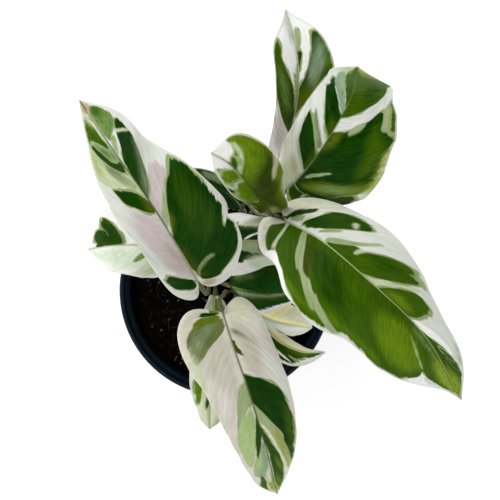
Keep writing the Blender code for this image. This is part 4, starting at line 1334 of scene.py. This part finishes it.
def pot_form(pot):
    """Vertices and faces of the pot: revolved wall and rim band round a floor with holes."""
    height, top, base, wall = (v / MM for v in (pot.height, pot.top_radius, pot.base_radius,
                                                pot.wall))
    neck, shoulder = wall_top(pot)
    foot_out, foot_up = FOOT_BEVEL
    hem = top - BAND_INSET
    outside = eased(((base, 0.0), (base + foot_out, foot_up), (neck, shoulder - 0.5),
                     (hem, shoulder), (top - 0.3, height - 1.0), (top - 1.0, height),
                     (top - LIP_WIDTH, height), (top - LIP_WIDTH - 0.4, height - LIP_DEPTH),
                     (hem - wall - 0.2, shoulder + 1.4), (neck - wall, shoulder - 1.0),
                     (base - wall + 0.9, FLOOR_THICKNESS)), CORNER_EASE)
    holes = [circle(DRAIN_HOLE_RADIUS, DRAIN_HOLE_SIDES, centre)
             for centre in circle(DRAIN_CIRCLE_RADIUS, DRAIN_HOLES, turn=math.pi / DRAIN_HOLES)]
    under, under_faces = sheet(circle(outside[0][0], POT_SEGMENTS), holes)
    over, over_faces = sheet(circle(outside[-1][0], POT_SEGMENTS), holes)
    points = [(x, y, 0.0) for x, y in under]
    faces = [face[::-1] for face in under_faces]
    first_over = len(points)
    points += [(x, y, FLOOR_THICKNESS) for x, y in over]
    faces += [[first_over + k for k in face] for face in over_faces]
    for hole in range(DRAIN_HOLES):
        start = POT_SEGMENTS + hole * DRAIN_HOLE_SIDES
        low = list(range(start, start + DRAIN_HOLE_SIDES))
        faces += [face[::-1] for face in band(low, [first_over + k for k in low])]
    loop = list(range(POT_SEGMENTS))
    for radius, level in outside[1:-1]:
        ring = list(range(len(points), len(points) + POT_SEGMENTS))
        points += [(x, y, level) for x, y in circle(radius, POT_SEGMENTS)]
        faces += band(loop, ring)
        loop = ring
    faces += band(loop, list(range(first_over, first_over + POT_SEGMENTS)))
    return points, faces


def soil_top(x, y, level, relief):
    """Height of the soil: broad lumps as in the solid, with clods and crumbs on them."""
    broad = (math.sin(0.23 * x + 1.1) * math.cos(0.27 * y) + 0.5 * math.sin(0.55 * x - 0.4 * y)
             + 0.35 * math.cos(0.9 * y + 0.6 * x))
    clods = noise.fractal(Vector((x * 0.22, y * 0.22, 3.0)), 0.8, 2.1, 5)
    crumbs = noise.noise(Vector((x * 1.5, y * 1.5, 7.0)))
    return level + 0.5 * relief * broad + 1.1 * clods + 0.35 * crumbs


def soil_form(soil, pot):
    """Vertices and faces of the soil with a fine lumpy top and plain sides."""
    level = soil.level / MM
    relief = soil.relief / MM
    slope = ((wall_top(pot)[0] - pot.base_radius / MM - FOOT_BEVEL[0])
             / (pot.height - pot.band_height) * MM)
    bottom = FLOOR_THICKNESS + SOIL_GAP
    bottom_radius = pot.base_radius / MM - pot.wall / MM + 0.1
    edge_radius = bottom_radius + slope * (level - SOIL_EDGE_DROP - bottom)
    points = [(0.0, 0.0, soil_top(0.0, 0.0, level, relief))]
    faces = []
    previous = None
    for ring in range(1, SOIL_RINGS + 1):
        share = ring / SOIL_RINGS
        down = max(0.0, (share - SOIL_SLOPE_START) / (1 - SOIL_SLOPE_START))
        loop = list(range(len(points), len(points) + SOIL_SEGMENTS))
        for x, y in circle(edge_radius * share, SOIL_SEGMENTS):
            points.append((x, y, soil_top(x, y, level, relief) - SOIL_EDGE_DROP * down ** 2))
        if previous is None:
            faces += [[0, loop[k], loop[(k + 1) % SOIL_SEGMENTS]] for k in range(SOIL_SEGMENTS)]
        else:
            faces += band(loop, previous)
        previous = loop
    base = list(range(len(points), len(points) + SOIL_SEGMENTS))
    points += [(x, y, bottom) for x, y in circle(bottom_radius, SOIL_SEGMENTS)]
    faces += band(base, previous)
    faces.append(base[::-1])
    return points, faces


# Operators

class PLANT_OT_pot(bpy.types.Operator):
    """Add the nursery pot"""
    bl_idname = "plant.pot"
    bl_label = "Pot"

    def execute(self, context):
        pot = context.scene.prayer_plant.pot
        points, faces = pot_form(pot)
        thing = add_mesh("pot_shell", points, faces, [plastic_finish(pot)])
        thing.data.set_sharp_from_angle(angle=POT_CREASE)
        finish_piece(thing, "pot", "pot")
        return {"FINISHED"}


class PLANT_OT_soil(bpy.types.Operator):
    """Add the soil and the crumbs, bark, fibres and grit that lie on it"""
    bl_idname = "plant.soil"
    bl_label = "Soil"

    def execute(self, context):
        settings = context.scene.prayer_plant
        soil = settings.soil
        dark, light = tuple(soil.dark), tuple(soil.light)
        points, faces = soil_form(soil, settings.pot)
        earth = earth_finish("earth", dark, light, 260.0)
        body = add_mesh("soil_bed", points, faces, [earth])
        recipe = scatter_recipe()
        kinds = (
            ("crumbs", (.0003, .0003, .0003), (.0011, .0010, .0008), -.0001, 3.1, False,
             earth_finish("crumb", dark, light, 500.0)),
            ("bark", (.0008, .0006, .0003), (.0034, .0019, .0007), .0003, 0.9, False,
             earth_finish("bark", (0.004, 0.0025, 0.0015), (0.022, 0.013, 0.007), 420.0, 0.85)),
            ("fibres", (.00010, .00010, .0016), (.00018, .00018, .0042), .0002, 1.7, True,
             earth_finish("coir", (0.020, 0.012, 0.006), (0.085, 0.058, 0.033), 600.0, 0.8)),
            ("grit", (.0004, .0004, .0004), (.0011, .0009, .0008), .0003, 3.1, False,
             earth_finish("grit", (0.08, 0.075, 0.065), (0.26, 0.245, 0.22), 700.0, 0.8)),
        )
        reach = settings.pot.top_radius / MM - STREWN_INSET

        def holds_bits(face):
            return len(face) < 5 and all(
                points[k][2] > STREWN_FLOOR and math.hypot(*points[k][:2]) < reach for k in face)

        top = [face for face in faces if holds_bits(face)]
        for order, (name, smallest, largest, sink, tilt, fibre, matter) in enumerate(kinds):
            bits = add_mesh("soil_" + name, points, top, [])
            recipe.grow(bits, Density=getattr(soil, name), Seed=soil.seed + order,
                        Smallest=smallest, Largest=largest, Sink=sink, Tilt=tilt, Fibre=fibre,
                        Material=matter)
            if len(bits.data.polygons) < FEWEST_BITS:
                raise RuntimeError("nothing was strewn for " + name)
            finish_piece(bits, "soil")
        finish_piece(body, "soil", "soil")
        return {"FINISHED"}


def stalk_line(leaf, soil_level, stalks):
    """Points, thickness and share of the way along a stalk, ending in the blade's ridge."""
    midrib = Midrib(leaf.midrib)
    point, forward, _, upward = midrib.frame(np.array([0.0, UNDER_RIB_MIDDLE, UNDER_RIB]))
    radius = leaf.stalk_radius * stalks.slimness
    base = point[0] - upward[0] * (0.35 + radius)
    turn = base - forward[0] * leaf.reach
    foot = [(*leaf.foot, soil_level + rise) for rise in STALK_ROOTS]
    ridge = [point[1] - upward[1] * 1.25, point[2] - upward[2] * 0.95]
    line, run = polyline([*foot, *leaf.way, turn, base, *ridge], 700)
    at = np.linspace(0, run[-1], stalks.stations)
    points = np.stack([np.interp(at, run, line[:, k]) for k in range(3)], -1)
    full = run[-1] - UNDER_RIB
    share = np.clip(at / full, 0, 1)
    thickness = radius * (1 + (STALK_FOOT_SWELL - 1) * (1 - share) ** 2)
    cushion = np.exp(-((at - full + CUSHION_PLACE) / CUSHION_LENGTH) ** 2)
    thickness = thickness * (STALK_SHAFT + CUSHION_SWELL * cushion)
    fade = np.clip((at - full) / UNDER_RIB, 0, 1)
    return points, thickness * (1 - fade) + STALK_END_RADIUS * fade, share


class PLANT_OT_stalks(bpy.types.Operator):
    """Add the leaf stalks, each from the soil into its blade's midrib"""
    bl_idname = "plant.stalks"
    bl_label = "Stalks"

    def execute(self, context):
        settings = context.scene.prayer_plant
        stalks = settings.stalks
        finish = stalk_finish(stalks)
        recipe = tube_recipe()
        for leaf in LEAVES:
            points, thickness, share = stalk_line(leaf, settings.soil.level / MM, stalks)
            mesh = bpy.data.meshes.new("stalk_" + leaf.name)
            mesh.from_pydata((points * MM).tolist(),
                             [(k, k + 1) for k in range(len(points) - 1)], [])
            for name, values in (("thickness", thickness * MM), ("share", share)):
                mesh.attributes.new(name, "FLOAT", "POINT").data.foreach_set("value", values)
            thing = add_object(mesh.name, mesh)
            recipe.grow(thing, Sides=stalks.sides, Material=finish)
            finish_piece(thing, "stalk", "petiole_" + leaf.name)
        return {"FINISHED"}


class PLANT_OT_blades(bpy.types.Operator):
    """Add the leaf blades with their patterned faces"""
    bl_idname = "plant.blades"
    bl_label = "Blades"

    def execute(self, context):
        blades = context.scene.prayer_plant.blades
        for seed, leaf in enumerate(LEAVES):
            layers = layers_of(leaf)
            rows, columns = blades.rows, blades.columns
            if leaf.name not in BIG_LEAVES:
                rows, columns = rows * 6 // 10, columns * 6 // 10
            finishes = [blade_face(leaf, layers, seed, blades), blade_back(leaf, seed)]
            thing = blade_mesh(leaf, layers, rows, columns, blades.thickness / MM,
                               blades.ridge / MM, blades.pleats / MM, finishes)
            finish_piece(thing, "blade_" + leaf.name, "blade_" + leaf.name)
        return {"FINISHED"}


def studio_world(horizon, zenith):
    """White light all round, weaker from straight above."""
    world = bpy.data.worlds.new("studio")
    world.use_nodes = True
    sky = Nodes(world.node_tree)
    way = sky.node("ShaderNodeTexCoord").outputs["Generated"]
    height = sky.node("ShaderNodeSeparateXYZ", (), {0: way}).outputs["Z"]
    fade = sky.node("ShaderNodeMapRange", (),
                    {"Value": height, "From Min": 0.05, "From Max": 0.75, "To Min": horizon,
                     "To Max": zenith})
    light = world.node_tree.nodes["Background"]
    sky.plug(light.inputs["Color"], (1.0, 1.0, 1.0))
    sky.plug(light.inputs["Strength"], fade.outputs["Result"])
    return world


class PLANT_OT_stage(bpy.types.Operator):
    """Add the floor, the lights and the camera"""
    bl_idname = "plant.stage"
    bl_label = "Stage"

    def execute(self, context):
        stage = context.scene.prayer_plant.stage
        scene = context.scene
        scene.view_settings.view_transform = "Standard"
        scene.view_settings.look = "None"
        half = stage.floor_size / 2
        mesh = bpy.data.meshes.new("floor")
        mesh.from_pydata([(-half, -half, 0), (half, -half, 0), (half, half, 0), (-half, half, 0)],
                         [], [(0, 1, 2, 3)])
        art = Shading("floor", tuple(stage.floor_colour))
        art.surface(Base_Color=tuple(stage.floor_colour), Roughness=0.9, Specular_IOR_Level=0.1,
                    Emission_Color=(1.0, 1.0, 1.0))
        away = art.node("ShaderNodeVectorMath", {"operation": "LENGTH"},
                        {0: art.spot()}).outputs["Value"]
        art.surface(Emission_Strength=art.smooth(away, 0.10, 1.20, stage.floor_glow,
                                                 stage.horizon_glow))
        mesh.materials.append(art.material)
        add_object("floor", mesh)
        scene.world = studio_world(stage.horizon, stage.zenith)
        for name, place, size in LAMPS:
            lamp = bpy.data.lights.new(name, "AREA")
            lamp.shape = "DISK"
            lamp.size = size
            lamp.energy = stage.key if name == "key" else stage.fill
            holder = add_object(name, lamp)
            holder.location = place
            holder.rotation_euler = (LAMP_AIM - Vector(place)).to_track_quat("-Z", "Y").to_euler()
        lens = bpy.data.cameras.new("camera")
        lens.lens = stage.lens
        lens.sensor_width = SENSOR_WIDTH
        lens.clip_start = NEAR_CLIP
        scene.camera = add_object("camera", lens)
        scene.camera.location = tuple(stage.eye)
        return {"FINISHED"}


class PLANT_PT_tools(bpy.types.Panel):
    """Settings and steps of the plant"""
    bl_label = "Prayer Plant"
    bl_idname = "PLANT_PT_tools"
    bl_space_type = "VIEW_3D"
    bl_region_type = "UI"
    bl_category = "Plant"

    def draw(self, context):
        settings = context.scene.prayer_plant
        for part, operator in (("pot", "plant.pot"), ("soil", "plant.soil"),
                               ("stalks", "plant.stalks"), ("blades", "plant.blades"),
                               ("stage", "plant.stage")):
            box = self.layout.box()
            group = getattr(settings, part)
            for name in group.__annotations__:
                box.prop(group, name)
            box.operator(operator)


CLASSES = (PotSettings, SoilSettings, StalkSettings, BladeSettings, StageSettings, PlantSettings,
           PLANT_OT_pot, PLANT_OT_soil, PLANT_OT_stalks, PLANT_OT_blades, PLANT_OT_stage,
           PLANT_PT_tools)


def register():
    """Register the add-on's classes and its settings."""
    for kind in CLASSES:
        bpy.utils.register_class(kind)
    bpy.types.Scene.prayer_plant = PointerProperty(type=PlantSettings)


def unregister():
    """Take the add-on's classes and settings away again."""
    del bpy.types.Scene.prayer_plant
    for kind in reversed(CLASSES):
        bpy.utils.unregister_class(kind)


def main():
    """Build the plant."""
    register()
    bpy.ops.plant.pot()
    bpy.ops.plant.soil()
    bpy.ops.plant.stalks()
    bpy.ops.plant.blades()
    bpy.ops.plant.stage()


if __name__ == "__main__":
    main()
